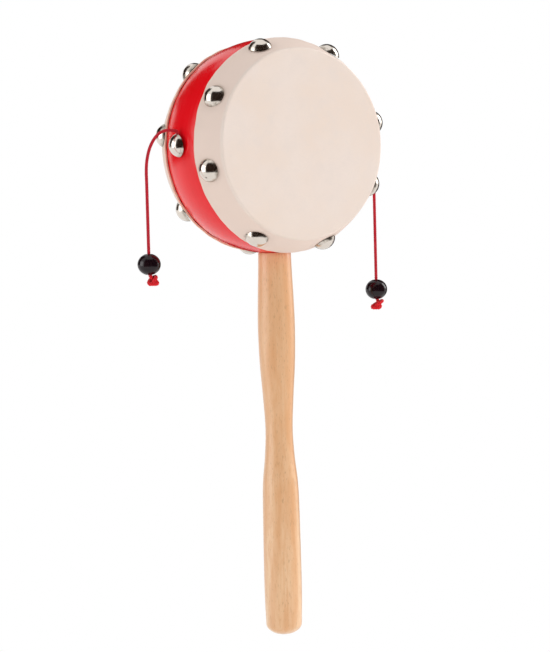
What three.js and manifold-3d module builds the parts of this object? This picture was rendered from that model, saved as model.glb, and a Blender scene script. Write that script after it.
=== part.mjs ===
// A spin drum: a shallow barrel drum with two skin heads on a turned wooden handle.
// Two corded beads hang at its sides and strike the heads when the handle is twirled.
// Millimetres, +Z up along the handle, +Y along the drum's axis, -Y towards the front head.
// The origin is on the handle's axis at the middle of the grip.

import * as THREE from "three";
import { mergeVertices } from "three/addons/utils/BufferGeometryUtils.js";
import Module from "manifold-3d";

const wasm = await Module();
wasm.setup();

// Driving dimensions of the drum
const DRUM_CENTRE_HEIGHT = 190; // above the middle of the grip
const BELLY_RADIUS = 49.4; // the shell at the middle of its depth
const RIM_RADIUS = 42.4; // the shell at its two open ends
const SHELL_HALF_DEPTH = 25.5;
const BORE_RADIUS = 38.6; // the straight bore of the shell
const RIM_CHAMFER = 0.7;
const SEAT_GAP = 0.3; // the gap between pieces that touch

// Skin heads
const SKIN_THICKNESS = 0.75;
const HEAD_EDGE_ROUNDING = 1.1; // where the skin turns from the face down to the skirt
const FRONT_SKIRT_EDGE = 11.8; // how far the skirt's edge stays from the middle of the shell
const REAR_SKIRT_EDGE = 15.2;

// Dome tacks
const TACK_DOME_RADIUS = 5.3;
const TACK_DOME_HEIGHT = 3.5;
const TACK_SHEET = 0.5; // the dome is pressed from sheet and is hollow
const TACK_SHANK_RADIUS = 0.75;
const TACK_SHANK_LENGTH = 6.5;
const CORD_TACK_SHANK_LENGTH = 8.5;
const TACK_POINT_LENGTH = 2.2;
const FRONT_TACK_OFFSET = 18.0; // from the middle of the shell to the front ring of tacks
const REAR_TACK_OFFSET = 20.0;
const TACK_SINK = 0.3; // the hollow dome sits over the crown of the barrel by this much
const FRONT_TACK_ANGLES = [111, 63.8, 13, -24, -70.3, -117, -166.2, 152.7]; // by hand, so uneven
const REAR_TACK_ANGLES = [130.5, 172.5, 219, 268.5, 306, 342, 30, 80];
const HOLE_HEADROOM = 3; // how far a shank's hole is cut above its tack's rim
const HOLE_TOE_ROOM = 1; // and below the shank's point
const HOLE_SIDES = 8;

// Handle
const SPIGOT_RADIUS = 6;
const SPIGOT_FOOT = 70; // below the drum's centre, inside the thick part of the handle
const SPIGOT_TOP = 43.4; // above the drum's centre, in the upper wall
const SPIGOT_CHAMFER = 1;
const SPIGOT_SOCKET_TOP = 43.8; // the end of the blind socket in the upper wall
const SPIGOT_DRILL_START = 55; // below the drum's centre, outside the shell
const HANDLE_STATIONS = [
  // below the drum's centre, radius
  [44, 7.45],
  [56, 7.75],
  [70, 8.3],
  [84, 8.6],
  [100, 8.2],
  [116, 7.1],
  [131, 6.35],
  [144, 6.95],
  [156, 8.15],
  [170, 8.55],
  [205, 8.75],
  [222.5, 8.35],
];
const HANDLE_END = 227.6; // below the drum's centre

// Striker cords, beads and knots
const CORD_RADIUS = 0.8;
const CORD_SIDES = 8;
const CORD_STEP = 3.2; // along the cord, between two rings of its surface
const PINNED_CORD_THICKNESS = 0.9; // squeezed flat under its tack
const CORD_TACK_TILT = 8; // degrees, lifted on the side where the cord comes out
const BEAD_RADIUS = 5.2;
const BEAD_HALF_HEIGHT = 4.8; // the bead is a little flattened along its bore
const BEAD_BORE_RADIUS = 1.15;
const KNOT_HALF_WIDTH = 2.75;
const KNOT_HALF_HEIGHT = 2.3;
const KNOT_CORE_HALF_WIDTH = 2.35;
const KNOT_HALF_DEPTH = 2.2;
const KNOT_TURN_THICKNESS = 1.05; // the slanting turn of squeezed cord, as a radius
const KNOT_TURN_SLANT = 24; // degrees
const KNOT_TAIL_LENGTH = 3;
const KNOT_TAIL_SLANT = 18; // degrees
const KNOT_TAIL_SHIFT = 0.4;
const KNOT_TAIL_FLARE = 1.25; // how much wider the cut end is than the cord
const JOINT_BALL_SCALE = 1.08; // a hair wider than the cord, so that the cord's end lies inside

// Each striker: the routes are in the plane of the handle's axis, as sideways and upwards places
// from the drum's centre. The fold is where the hanging stretch starts.
const STRIKERS = [
  {
    side: "left",
    tackAngle: 179.4,
    route: [
      [-50.5, 7.1],
      [-53.1, 7.3],
      [-56.2, 7.3],
      [-59.4, 6.1],
      [-62.4, 3.3],
      [-64.8, -0.9],
      [-66.2, -5.8],
      [-66.7, -10.6],
    ],
    fold: [-66.7, -15.5],
    beadHeight: -52.1,
    knotShift: 0.9,
  },
  {
    side: "right",
    tackAngle: -10,
    route: [
      [50.6, -1.7],
      [52.7, -1.0],
      [54.9, -1.5],
      [56.6, -3.9],
      [57.3, -7.6],
      [57.6, -12.2],
      [57.8, -17.6],
      [57.8, -23.6],
    ],
    fold: [57.8, -28.9],
    beadHeight: -68.5,
    knotShift: -0.2,
  },
];

// Fineness of the round pieces
const BARREL_SEGMENTS = 52;
const BARREL_STEPS = 10;
const HEAD_CORNER_STEPS = 3;
const HEAD_SKIRT_STEPS = 4;
const HEAD_LINING_STEPS = 3;
const HANDLE_SEGMENTS = 24;
const HANDLE_STEPS = 22;
const HANDLE_END_STEPS = 5;
const TACK_SEGMENTS = 12;
const TACK_DOME_STEPS = 4;
const TACK_HOLLOW_STEPS = 2;
const BEAD_SEGMENTS = 16;
const BEAD_STEPS = 10;
const KNOT_CORE_SEGMENTS = 12;
const KNOT_CORE_STEPS = 8;
const KNOT_TURN_SEGMENTS = 14;
const KNOT_TURN_SIDES = 6;
const JOINT_BALL_DETAIL = 1; // how often a ball's faces are split
const MERGE_DISTANCE = 1e-4;

const degrees = THREE.MathUtils.degToRad;

// Finishes
const finish = (color, roughness, metalness = 0) =>
  new THREE.MeshStandardMaterial({ color, roughness, metalness });
const redPaint = () => finish(0xc8101c, 0.28);
const skin = () => finish(0xe9dacd, 0.62);
const nickel = () => finish(0xc9c6c0, 0.2, 1);
const beech = () => finish(0xe2b98d, 0.5);
const redCord = () => finish(0xb81828, 0.85);
const blackLacquer = () => finish(0x0d0c0e, 0.12);

// Solids that are cut or joined
function solidOf(geometry) {
  const bare = geometry.clone();
  bare.deleteAttribute("normal");
  bare.deleteAttribute("uv");
  const merged = mergeVertices(bare, MERGE_DISTANCE);
  return new wasm.Manifold(
    new wasm.Mesh({
      numProp: 3,
      vertProperties: new Float32Array(merged.attributes.position.array),
      triVerts: new Uint32Array(merged.index.array),
    }),
  );
}

function geometryOf(solid) {
  const mesh = solid.getMesh();
  const geometry = new THREE.BufferGeometry();
  geometry.setAttribute("position", new THREE.BufferAttribute(mesh.vertProperties, 3));
  geometry.setIndex(new THREE.BufferAttribute(mesh.triVerts, 1));
  geometry.computeVertexNormals();
  return geometry;
}

// A profile of [radius, place along the axis] turned about Y. It runs from the low end to the
// high end on the outside, and starts and ends on the axis or closes on itself.
function turned(profile, segments) {
  const points = profile.map(([radius, along]) => new THREE.Vector2(radius, along));
  return new THREE.LatheGeometry(points, segments);
}

// The same, about Z
const turnedUpright = (profile, segments) => turned(profile, segments).rotateX(Math.PI / 2);

// The barrel's side: one arc over the whole depth
const BARREL_SAG = BELLY_RADIUS - RIM_RADIUS;
const BARREL_ARC_RADIUS = (SHELL_HALF_DEPTH ** 2 + BARREL_SAG ** 2) / (2 * BARREL_SAG);

function barrelRadius(depth) {
  return BELLY_RADIUS - BARREL_ARC_RADIUS + Math.sqrt(BARREL_ARC_RADIUS ** 2 - depth ** 2);
}

// The arc between two depths, moved out by an offset, as profile points
function barrelArc(from, to, offset, steps) {
  return Array.from({ length: steps + 1 }, (_, i) => {
    const depth = from + ((to - from) * i) / steps;
    return [barrelRadius(depth) + offset, depth];
  });
}

// A group on the barrel's side at an angle from +X towards +Z and at a depth,
// with its own +Y along the outward normal
function seatOnBarrel(angle, depth, lift, tilt = 0) {
  const lean = Math.asin(depth / BARREL_ARC_RADIUS);
  const turn = degrees(angle);
  const radius = barrelRadius(depth);
  const outward = new THREE.Vector3(
    Math.cos(turn) * Math.cos(lean),
    Math.sin(lean),
    Math.sin(turn) * Math.cos(lean),
  );
  const seat = new THREE.Group();
  seat.position
    .set(Math.cos(turn) * radius, depth, Math.sin(turn) * radius)
    .addScaledVector(outward, lift);
  const along = new THREE.Vector3(-Math.sin(turn), 0, Math.cos(turn));
  const across = new THREE.Vector3().crossVectors(along, outward);
  seat.quaternion.setFromRotationMatrix(new THREE.Matrix4().makeBasis(along, outward, across));
  seat.rotateZ(degrees(tilt));
  seat.updateMatrix();
  return seat;
}

const drum = new THREE.Group();
drum.position.z = DRUM_CENTRE_HEIGHT;

function addTo(group, name, geometry, material) {
  const mesh = new THREE.Mesh(geometry, material);
  mesh.name = name;
  group.add(mesh);
  return mesh;
}

// Dome tacks: a hollow pressed dome with a pointed shank, its rim in its own plane of zero height
function arcOfDome(rimRadius, height, steps) {
  const sphere = (rimRadius ** 2 + height ** 2) / (2 * height);
  const sweep = Math.asin(rimRadius / sphere);
  return Array.from({ length: steps + 1 }, (_, i) => {
    const angle = (sweep * (steps - i)) / steps;
    return [sphere * Math.sin(angle), height - sphere * (1 - Math.cos(angle))];
  });
}

function domeTack(shankLength) {
  const outer = arcOfDome(TACK_DOME_RADIUS, TACK_DOME_HEIGHT, TACK_DOME_STEPS);
  const inner = arcOfDome(
    TACK_DOME_RADIUS - TACK_SHEET,
    TACK_DOME_HEIGHT - TACK_SHEET,
    TACK_HOLLOW_STEPS,
  );
  inner.pop();
  const ceiling = inner[inner.length - 1][1] + TACK_SHEET;
  outer[outer.length - 1][0] = 0;
  return turned(
    [
      [0, -shankLength],
      [TACK_SHANK_RADIUS, TACK_POINT_LENGTH - shankLength],
      [TACK_SHANK_RADIUS, ceiling],
      ...inner.reverse(),
      ...outer,
    ],
    TACK_SEGMENTS,
  );
}

// The hole that a shank is driven through, with the running gap round it
function shankHole(shankLength) {
  const reach = shankLength + HOLE_TOE_ROOM;
  const radius = TACK_SHANK_RADIUS + SEAT_GAP;
  const height = reach + HOLE_HEADROOM;
  const middle = (HOLE_HEADROOM - reach) / 2;
  return new THREE.CylinderGeometry(radius, radius, height, HOLE_SIDES).translate(0, middle, 0);
}

const skinLift = SEAT_GAP + SKIN_THICKNESS + SEAT_GAP - TACK_SINK;
const tackSeats = [
  ...FRONT_TACK_ANGLES.map((angle, i) => ({
    name: `front_tack_${i + 1}`,
    shank: TACK_SHANK_LENGTH,
    seat: seatOnBarrel(angle, -FRONT_TACK_OFFSET, skinLift),
  })),
  ...REAR_TACK_ANGLES.map((angle, i) => ({
    name: `rear_tack_${i + 1}`,
    shank: TACK_SHANK_LENGTH,
    seat: seatOnBarrel(angle, REAR_TACK_OFFSET, skinLift),
  })),
  ...STRIKERS.map(({ side, tackAngle }) => ({
    name: `${side}_cord_tack`,
    shank: CORD_TACK_SHANK_LENGTH,
    seat: seatOnBarrel(
      tackAngle,
      0,
      SEAT_GAP + TACK_DOME_RADIUS * Math.sin(degrees(CORD_TACK_TILT)),
      side === "left" ? -CORD_TACK_TILT : CORD_TACK_TILT,
    ),
  })),
];

for (const { name, shank, seat } of tackSeats) {
  addTo(seat, name, domeTack(shank), nickel());
  drum.add(seat);
}

function withTackHoles(solid, seats) {
  return seats.reduce(
    (left, { shank, seat }) => left.subtract(solidOf(shankHole(shank).applyMatrix4(seat.matrix))),
    solid,
  );
}

// Handle: turned in one piece, with a shoulder that fits the barrel and a long spigot inside
function handleProfile() {
  const shape = new THREE.SplineCurve(
    HANDLE_STATIONS.map(([below, radius]) => new THREE.Vector2(radius, -below)),
  );
  const side = shape.getPoints(HANDLE_STEPS).map((p) => [p.x, p.y]);
  const [lastRadius, lastHeight] = side[side.length - 1];
  const end = Array.from({ length: HANDLE_END_STEPS }, (_, i) => {
    const angle = ((i + 1) / HANDLE_END_STEPS) * (Math.PI / 2);
    return [lastRadius * Math.cos(angle), lastHeight - (HANDLE_END + lastHeight) * Math.sin(angle)];
  });
  end[end.length - 1][0] = 0;
  return [[0, side[0][1]], ...side, ...end].reverse();
}

function clearedBarrel() {
  const arc = barrelArc(-SHELL_HALF_DEPTH, SHELL_HALF_DEPTH, SEAT_GAP, BARREL_STEPS);
  return turned([[0, -SHELL_HALF_DEPTH], ...arc, [0, SHELL_HALF_DEPTH]], BARREL_SEGMENTS);
}

function handle() {
  const spigot = turnedUpright(
    [
      [0, -SPIGOT_FOOT],
      [SPIGOT_RADIUS, -SPIGOT_FOOT],
      [SPIGOT_RADIUS, SPIGOT_TOP - SPIGOT_CHAMFER],
      [SPIGOT_RADIUS - SPIGOT_CHAMFER, SPIGOT_TOP],
      [0, SPIGOT_TOP],
    ],
    HANDLE_SEGMENTS,
  );
  const blank = solidOf(turnedUpright(handleProfile(), HANDLE_SEGMENTS));
  return geometryOf(blank.subtract(solidOf(clearedBarrel())).add(solidOf(spigot)));
}

addTo(drum, "handle", handle(), beech());

// Shell: a turned wooden ring, bored straight, with the spigot's hole and socket and the tack holes
function shell() {
  const face = SHELL_HALF_DEPTH;
  const ring = turned(
    [
      [BORE_RADIUS, -face],
      [barrelRadius(face) - RIM_CHAMFER, -face],
      ...barrelArc(RIM_CHAMFER - face, face - RIM_CHAMFER, 0, BARREL_STEPS),
      [barrelRadius(face) - RIM_CHAMFER, face],
      [BORE_RADIUS, face],
      [BORE_RADIUS, -face],
    ],
    BARREL_SEGMENTS,
  );
  const spigotHole = turnedUpright(
    [
      [0, -SPIGOT_DRILL_START],
      [SPIGOT_RADIUS + SEAT_GAP, -SPIGOT_DRILL_START],
      [SPIGOT_RADIUS + SEAT_GAP, SPIGOT_SOCKET_TOP],
      [0, SPIGOT_SOCKET_TOP],
    ],
    HANDLE_SEGMENTS,
  );
  return geometryOf(withTackHoles(solidOf(ring).subtract(solidOf(spigotHole)), tackSeats));
}

addTo(drum, "shell", shell(), redPaint());

// Heads: a skin stretched over each end of the shell and lapped down its side as a skirt
function head(towards, skirtEdge, seats) {
  const inside = SHELL_HALF_DEPTH + SEAT_GAP;
  const outside = inside + SKIN_THICKNESS;
  const turn = HEAD_EDGE_ROUNDING;
  const outerOffset = SEAT_GAP + SKIN_THICKNESS;
  const cornerDepth = outside - turn;
  const cornerRadius = barrelRadius(cornerDepth) + outerOffset;
  const corner = Array.from({ length: HEAD_CORNER_STEPS }, (_, i) => {
    const angle = ((i + 1) / HEAD_CORNER_STEPS) * (Math.PI / 2);
    return [cornerRadius - turn * (1 - Math.cos(angle)), cornerDepth + turn * Math.sin(angle)];
  });
  const skirt = barrelArc(skirtEdge, cornerDepth, outerOffset, HEAD_SKIRT_STEPS);
  const shoulder = SHELL_HALF_DEPTH - RIM_CHAMFER;
  const lining = barrelArc(shoulder, skirtEdge, SEAT_GAP, HEAD_LINING_STEPS);
  const innerCorner = [barrelRadius(SHELL_HALF_DEPTH) + SEAT_GAP - RIM_CHAMFER, inside];
  const profile = [[0, inside], innerCorner, ...lining, ...skirt, ...corner, [0, outside]];
  const placed = profile.map(([radius, depth]) => [radius, depth * towards]);
  if (towards < 0) placed.reverse();
  return geometryOf(withTackHoles(solidOf(turned(placed, BARREL_SEGMENTS)), seats));
}

const frontSeats = tackSeats.filter(({ name }) => name.startsWith("front"));
const rearSeats = tackSeats.filter(({ name }) => name.startsWith("rear"));
addTo(drum, "front_head", head(-1, FRONT_SKIRT_EDGE, frontSeats), skin());
addTo(drum, "rear_head", head(1, REAR_SKIRT_EDGE, rearSeats), skin());

// Cords: a faceted tube along a curve, with a ball at each end that turns against its neighbour
function tube(curve) {
  const section = new THREE.Shape(
    Array.from({ length: CORD_SIDES }, (_, i) => {
      const angle = (2 * Math.PI * i) / CORD_SIDES;
      return new THREE.Vector2(CORD_RADIUS * Math.cos(angle), CORD_RADIUS * Math.sin(angle));
    }),
  );
  const steps = Math.ceil(curve.getLength() / CORD_STEP);
  return new THREE.ExtrudeGeometry(section, { steps, extrudePath: curve, bevelEnabled: false });
}

const ball = ({ x, y, z }) =>
  new THREE.IcosahedronGeometry(CORD_RADIUS * JOINT_BALL_SCALE, JOINT_BALL_DETAIL).translate(x, y, z);

const inDrumPlane = ([sideways, upwards]) => new THREE.Vector3(sideways, 0, upwards);

// The stretch from the tack over the hump to the fold. It stops a ball's width and a gap above
// the ball that the hanging stretch starts with.
function upperCord(striker) {
  const fold = inDrumPlane(striker.fold);
  const points = striker.route.map(inDrumPlane);
  const before = points[points.length - 1];
  const back = before.clone().sub(fold).normalize();
  const end = fold.clone().addScaledVector(back, 2 * CORD_RADIUS + SEAT_GAP);
  const curve = new THREE.CatmullRomCurve3([...points, end]);
  const solid = solidOf(tube(curve)).add(solidOf(ball(points[0]))).add(solidOf(ball(end)));
  return geometryOf(solid);
}

// The stretch that hangs straight from the fold through the bead to the knot
function lowerCord(striker) {
  const fold = inDrumPlane(striker.fold);
  const foot = fold.clone().setZ(knotTop(striker) + SEAT_GAP);
  const solid = solidOf(tube(new THREE.LineCurve3(fold, foot))).add(solidOf(ball(fold)));
  return geometryOf(solid);
}

// The squeezed end of the cord between its tack's shank and its free stretch
function pinnedCord(striker) {
  const start = inDrumPlane(striker.route[0]);
  const outwards = Math.sign(start.x);
  const top = start.z - CORD_RADIUS - SEAT_GAP;
  const bottom = BELLY_RADIUS * Math.sin(degrees(striker.tackAngle)) + TACK_SHANK_RADIUS + 2 * SEAT_GAP;
  const middle = (top + bottom) / 2;
  const wall = Math.sqrt(BELLY_RADIUS ** 2 - Math.min(bottom ** 2, top ** 2));
  const flat = PINNED_CORD_THICKNESS / (2 * CORD_RADIUS);
  return new THREE.CylinderGeometry(CORD_RADIUS, CORD_RADIUS, top - bottom, CORD_SIDES)
    .rotateX(Math.PI / 2)
    .scale(flat, 1 / flat, 1)
    .translate(outwards * (wall + SEAT_GAP + PINNED_CORD_THICKNESS / 2), 0, middle);
}

const knotTop = ({ beadHeight }) => beadHeight - BEAD_HALF_HEIGHT - SEAT_GAP;

// Beads: bored through for the cord
function bead() {
  const reach = Math.asin(BEAD_BORE_RADIUS / BEAD_RADIUS);
  const outer = Array.from({ length: BEAD_STEPS + 1 }, (_, i) => {
    const angle = -Math.PI / 2 + reach + ((Math.PI - 2 * reach) * i) / BEAD_STEPS;
    return [BEAD_RADIUS * Math.cos(angle), BEAD_HALF_HEIGHT * Math.sin(angle)];
  });
  return turnedUpright([...outer, outer[0]], BEAD_SEGMENTS);
}

// Knots: an overhand knot pulled tight, as a round core with one slanting turn and a cut end
function knot() {
  const core = new THREE.SphereGeometry(1, KNOT_CORE_SEGMENTS, KNOT_CORE_STEPS).scale(
    KNOT_CORE_HALF_WIDTH,
    KNOT_HALF_DEPTH,
    KNOT_HALF_HEIGHT,
  );
  const turnRadius = KNOT_HALF_WIDTH - KNOT_TURN_THICKNESS;
  const turn = new THREE.TorusGeometry(
    turnRadius,
    KNOT_TURN_THICKNESS,
    KNOT_TURN_SIDES,
    KNOT_TURN_SEGMENTS,
  )
    .scale(1, KNOT_CORE_HALF_WIDTH / KNOT_HALF_WIDTH, 1)
    .rotateY(degrees(KNOT_TURN_SLANT));
  const tail = new THREE.CylinderGeometry(
    CORD_RADIUS,
    CORD_RADIUS * KNOT_TAIL_FLARE,
    KNOT_TAIL_LENGTH,
    CORD_SIDES,
  )
    .rotateX(Math.PI / 2)
    .rotateY(-degrees(KNOT_TAIL_SLANT))
    .translate(KNOT_TAIL_SHIFT, 0, -KNOT_HALF_HEIGHT);
  return geometryOf(solidOf(core).add(solidOf(turn)).add(solidOf(tail)));
}

for (const striker of STRIKERS) {
  const { side, fold, beadHeight, knotShift } = striker;
  addTo(drum, `${side}_cord_pinned_end`, pinnedCord(striker), redCord());
  addTo(drum, `${side}_cord_upper`, upperCord(striker), redCord());
  addTo(drum, `${side}_cord_lower`, lowerCord(striker), redCord());
  addTo(drum, `${side}_bead`, bead(), blackLacquer()).position.set(fold[0], 0, beadHeight);
  const knotMiddle = knotTop(striker) - KNOT_HALF_HEIGHT;
  addTo(drum, `${side}_knot`, knot(), redCord()).position.set(fold[0] + knotShift, 0, knotMiddle);
}

const spinDrum = new THREE.Group();
spinDrum.add(drum);

export default spinDrum;
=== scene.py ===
"""A spin drum: two hide heads tacked on a red barrel shell, a turned beech handle, and two corded beads.

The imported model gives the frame, in metres: +Z up along the handle, -Y towards the front head.
The classes below hold their sizes in millimetres from the drum's centre, as the part's source does,
and in_frame() takes a point from there to the frame.
"""

from __future__ import annotations

import logging
import math
import random
from dataclasses import dataclass
from enum import Enum
from typing import Any, Callable, Sequence, Union

import bmesh
import bpy
import numpy as np
from mathutils import Matrix, Vector


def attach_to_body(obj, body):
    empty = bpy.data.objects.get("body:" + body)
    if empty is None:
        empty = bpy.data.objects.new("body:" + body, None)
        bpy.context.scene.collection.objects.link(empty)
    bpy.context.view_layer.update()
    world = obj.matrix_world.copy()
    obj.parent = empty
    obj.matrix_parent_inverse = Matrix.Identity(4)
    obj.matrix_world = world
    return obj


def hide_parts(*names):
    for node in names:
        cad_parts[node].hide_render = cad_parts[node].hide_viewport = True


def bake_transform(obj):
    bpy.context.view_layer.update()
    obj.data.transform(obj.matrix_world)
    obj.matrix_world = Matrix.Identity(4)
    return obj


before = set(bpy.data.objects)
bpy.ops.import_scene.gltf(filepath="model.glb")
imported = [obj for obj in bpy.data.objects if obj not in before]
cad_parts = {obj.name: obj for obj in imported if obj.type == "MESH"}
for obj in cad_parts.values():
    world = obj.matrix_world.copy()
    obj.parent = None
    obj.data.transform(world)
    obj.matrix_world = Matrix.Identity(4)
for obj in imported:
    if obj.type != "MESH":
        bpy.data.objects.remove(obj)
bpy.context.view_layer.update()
LOG = logging.getLogger("spin_drum")

MM = 0.001
DRUM_CENTRE = Vector((0, 0, 190 * MM))
TURN = 2 * math.pi

Colour = tuple[float, float, float]
Triple = tuple[float, float, float]
Point = tuple[float, float]
Ring = list[Vector]
Seat = tuple[Vector, Vector]
Value = Union["Wire", "list[Wire]", bpy.types.ID, Vector, tuple, float, int, bool, str]


class Side(Enum):
    """The two sides of the drum that carry a striker."""

    LEFT = "left"
    RIGHT = "right"

    @property
    def sign(self) -> int:
        """-1 on the left, 1 on the right."""
        return -1 if self is Side.LEFT else 1


class Facing(Enum):
    """The two open ends of the shell, as the sign of their depth along Y."""

    FRONT = -1
    REAR = 1

    @property
    def word(self) -> str:
        """The word that node names start with."""
        return self.name.lower()


class Slot(Enum):
    """The material slots, by name."""

    RED_PAINT = "red_paint"
    DRUM_SKIN = "drum_skin"
    NICKEL = "nickel"
    BEECH = "beech"
    RED_CORD = "red_cord"
    BLACK_LACQUER = "black_lacquer"


class SocketKind(Enum):
    """Kinds of named inputs of a geometry tool."""

    NUMBER = "NodeSocketFloat"
    COUNT = "NodeSocketInt"
    OBJECT = "NodeSocketObject"
    MATERIAL = "NodeSocketMaterial"


def in_frame(point: Vector) -> Vector:
    """Takes a point in millimetres from the drum's centre to the frame, in metres."""
    return point * MM + DRUM_CENTRE


def lerp(low: float, high: float, share: float) -> float:
    """The number that lies at a share of the way from low to high."""
    return low + (high - low) * share


def smoothstep(low: float, high: float, value: float) -> float:
    """0 below low, 1 above high, and a smooth rise between them."""
    share = min(max((value - low) / (high - low), 0.0), 1.0)
    return share * share * (3 - 2 * share)


def catmull_rom(points: Sequence[Sequence[float]], steps: int) -> list[Vector]:
    """Samples a smooth curve through all the points.

    Args:
        points: what the curve goes through, in 2 or 3 dimensions.
        steps: how many samples each span between two points gets.

    Returns:
        The samples, from the first point to the last.
    """
    knots = [Vector(p) for p in points]
    padded = [knots[0], *knots, knots[-1]]
    samples = []
    for before, start, end, after in zip(padded, padded[1:], padded[2:], padded[3:]):
        into, out = (end - before) / 2, (after - start) / 2
        for step in range(steps):
            t = step / steps
            cubic = (2 * start - 2 * end + into + out) * t**3
            square = (3 * end - 3 * start - 2 * into - out) * t**2
            samples.append(cubic + square + into * t + start)
    return [*samples, knots[-1]]


def polyline_length(points: Sequence[Vector]) -> float:
    """The length of a line through the points."""
    return sum((b - a).length for a, b in zip(points, points[1:]))


def evenly_spaced(points: Sequence[Vector], spacing: float) -> list[Vector]:
    """Resamples a line so that its points lie about one spacing apart.

    Args:
        points: the line.
        spacing: the wanted distance along the line.

    Returns:
        The new points, with the same first and last one.
    """
    table = np.array([tuple(p) for p in points])
    along = np.concatenate([[0], np.cumsum(np.linalg.norm(np.diff(table, axis=0), axis=1))])
    places = np.linspace(0, along[-1], max(2, round(along[-1] / spacing) + 1))
    columns = [np.interp(places, along, table[:, axis]) for axis in range(3)]
    return [Vector(row) for row in np.stack(columns, axis=1)]


class Wire:
    """One socket of a node tree, on which Python's arithmetic adds Math or Vector Math nodes."""

    def __init__(self, graph: Graph, socket: bpy.types.NodeSocket) -> None:
        """Wraps a socket of the graph's tree."""
        self.graph = graph
        self.socket = socket

    @property
    def is_vector(self) -> bool:
        """True for a vector or a colour."""
        return self.socket.type in ("VECTOR", "RGBA")

    def other(self, name: str) -> Wire:
        """Another output of the same node."""
        return Wire(self.graph, self.socket.node.outputs[name])

    def maths(self, operation: str, *operands: Value) -> Wire:
        """Adds the node that works out an operation.

        Args:
            operation: its name on a Math or Vector Math node.
            *operands: wires or plain numbers, in the order of the node's sockets.

        Returns:
            The result.
        """
        vectors = any(isinstance(o, Wire) and o.is_vector or isinstance(o, tuple) for o in operands)
        kind = "ShaderNodeVectorMath" if vectors else "ShaderNodeMath"
        return self.graph.add(kind, {"operation": operation}, dict(enumerate(operands)))

    def __add__(self, other: Value) -> Wire:
        """self + other."""
        return self.maths("ADD", self, other)

    def __radd__(self, other: Value) -> Wire:
        """other + self."""
        return self.maths("ADD", other, self)

    def __sub__(self, other: Value) -> Wire:
        """self - other."""
        return self.maths("SUBTRACT", self, other)

    def __rsub__(self, other: Value) -> Wire:
        """other - self."""
        return self.maths("SUBTRACT", other, self)

    def __mul__(self, other: Value) -> Wire:
        """self * other."""
        return self.maths("MULTIPLY", self, other)

    def __rmul__(self, other: Value) -> Wire:
        """other * self."""
        return self.maths("MULTIPLY", other, self)

    def __truediv__(self, other: Value) -> Wire:
        """self / other."""
        return self.maths("DIVIDE", self, other)

    def __mod__(self, other: Value) -> Wire:
        """self % other, for a self that isn't negative."""
        return self.maths("MODULO", self, other)

    def __gt__(self, other: Value) -> Wire:
        """1 where self is greater than other, else 0."""
        return self.maths("GREATER_THAN", self, other)

    def sine(self) -> Wire:
        """The sine of an angle in radians."""
        return self.maths("SINE", self)

    def cosine(self) -> Wire:
        """The cosine of an angle in radians."""
        return self.maths("COSINE", self)

    def root(self) -> Wire:
        """The square root."""
        return self.maths("SQRT", self)

    def size(self) -> Wire:
        """The absolute value."""
        return self.maths("ABSOLUTE", self)

    def length(self) -> Wire:
        """The length of a vector."""
        return self.graph.add("ShaderNodeVectorMath", {"operation": "LENGTH"}, {0: self}, "Value")

    def floor(self) -> Wire:
        """The whole number at or below it."""
        return self.maths("FLOOR", self)

    def at_most(self, other: Value) -> Wire:
        """The smaller of the two."""
        return self.maths("MINIMUM", self, other)

    def at_least(self, other: Value) -> Wire:
        """The greater of the two."""
        return self.maths("MAXIMUM", self, other)

    def rise(self, low: float, high: float, start: float = 0.0, end: float = 1.0) -> Wire:
        """Goes smoothly from start to end as self goes from low to high, and stays level outside.

        Args:
            low: where the rise starts.
            high: where it ends.
            start: the result up to low.
            end: the result from high on.

        Returns:
            The result.
        """
        limits = {"Value": self, "From Min": low, "From Max": high, "To Min": start, "To Max": end}
        return self.graph.add("ShaderNodeMapRange", {"interpolation_type": "SMOOTHSTEP"}, limits, "Result")


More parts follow.
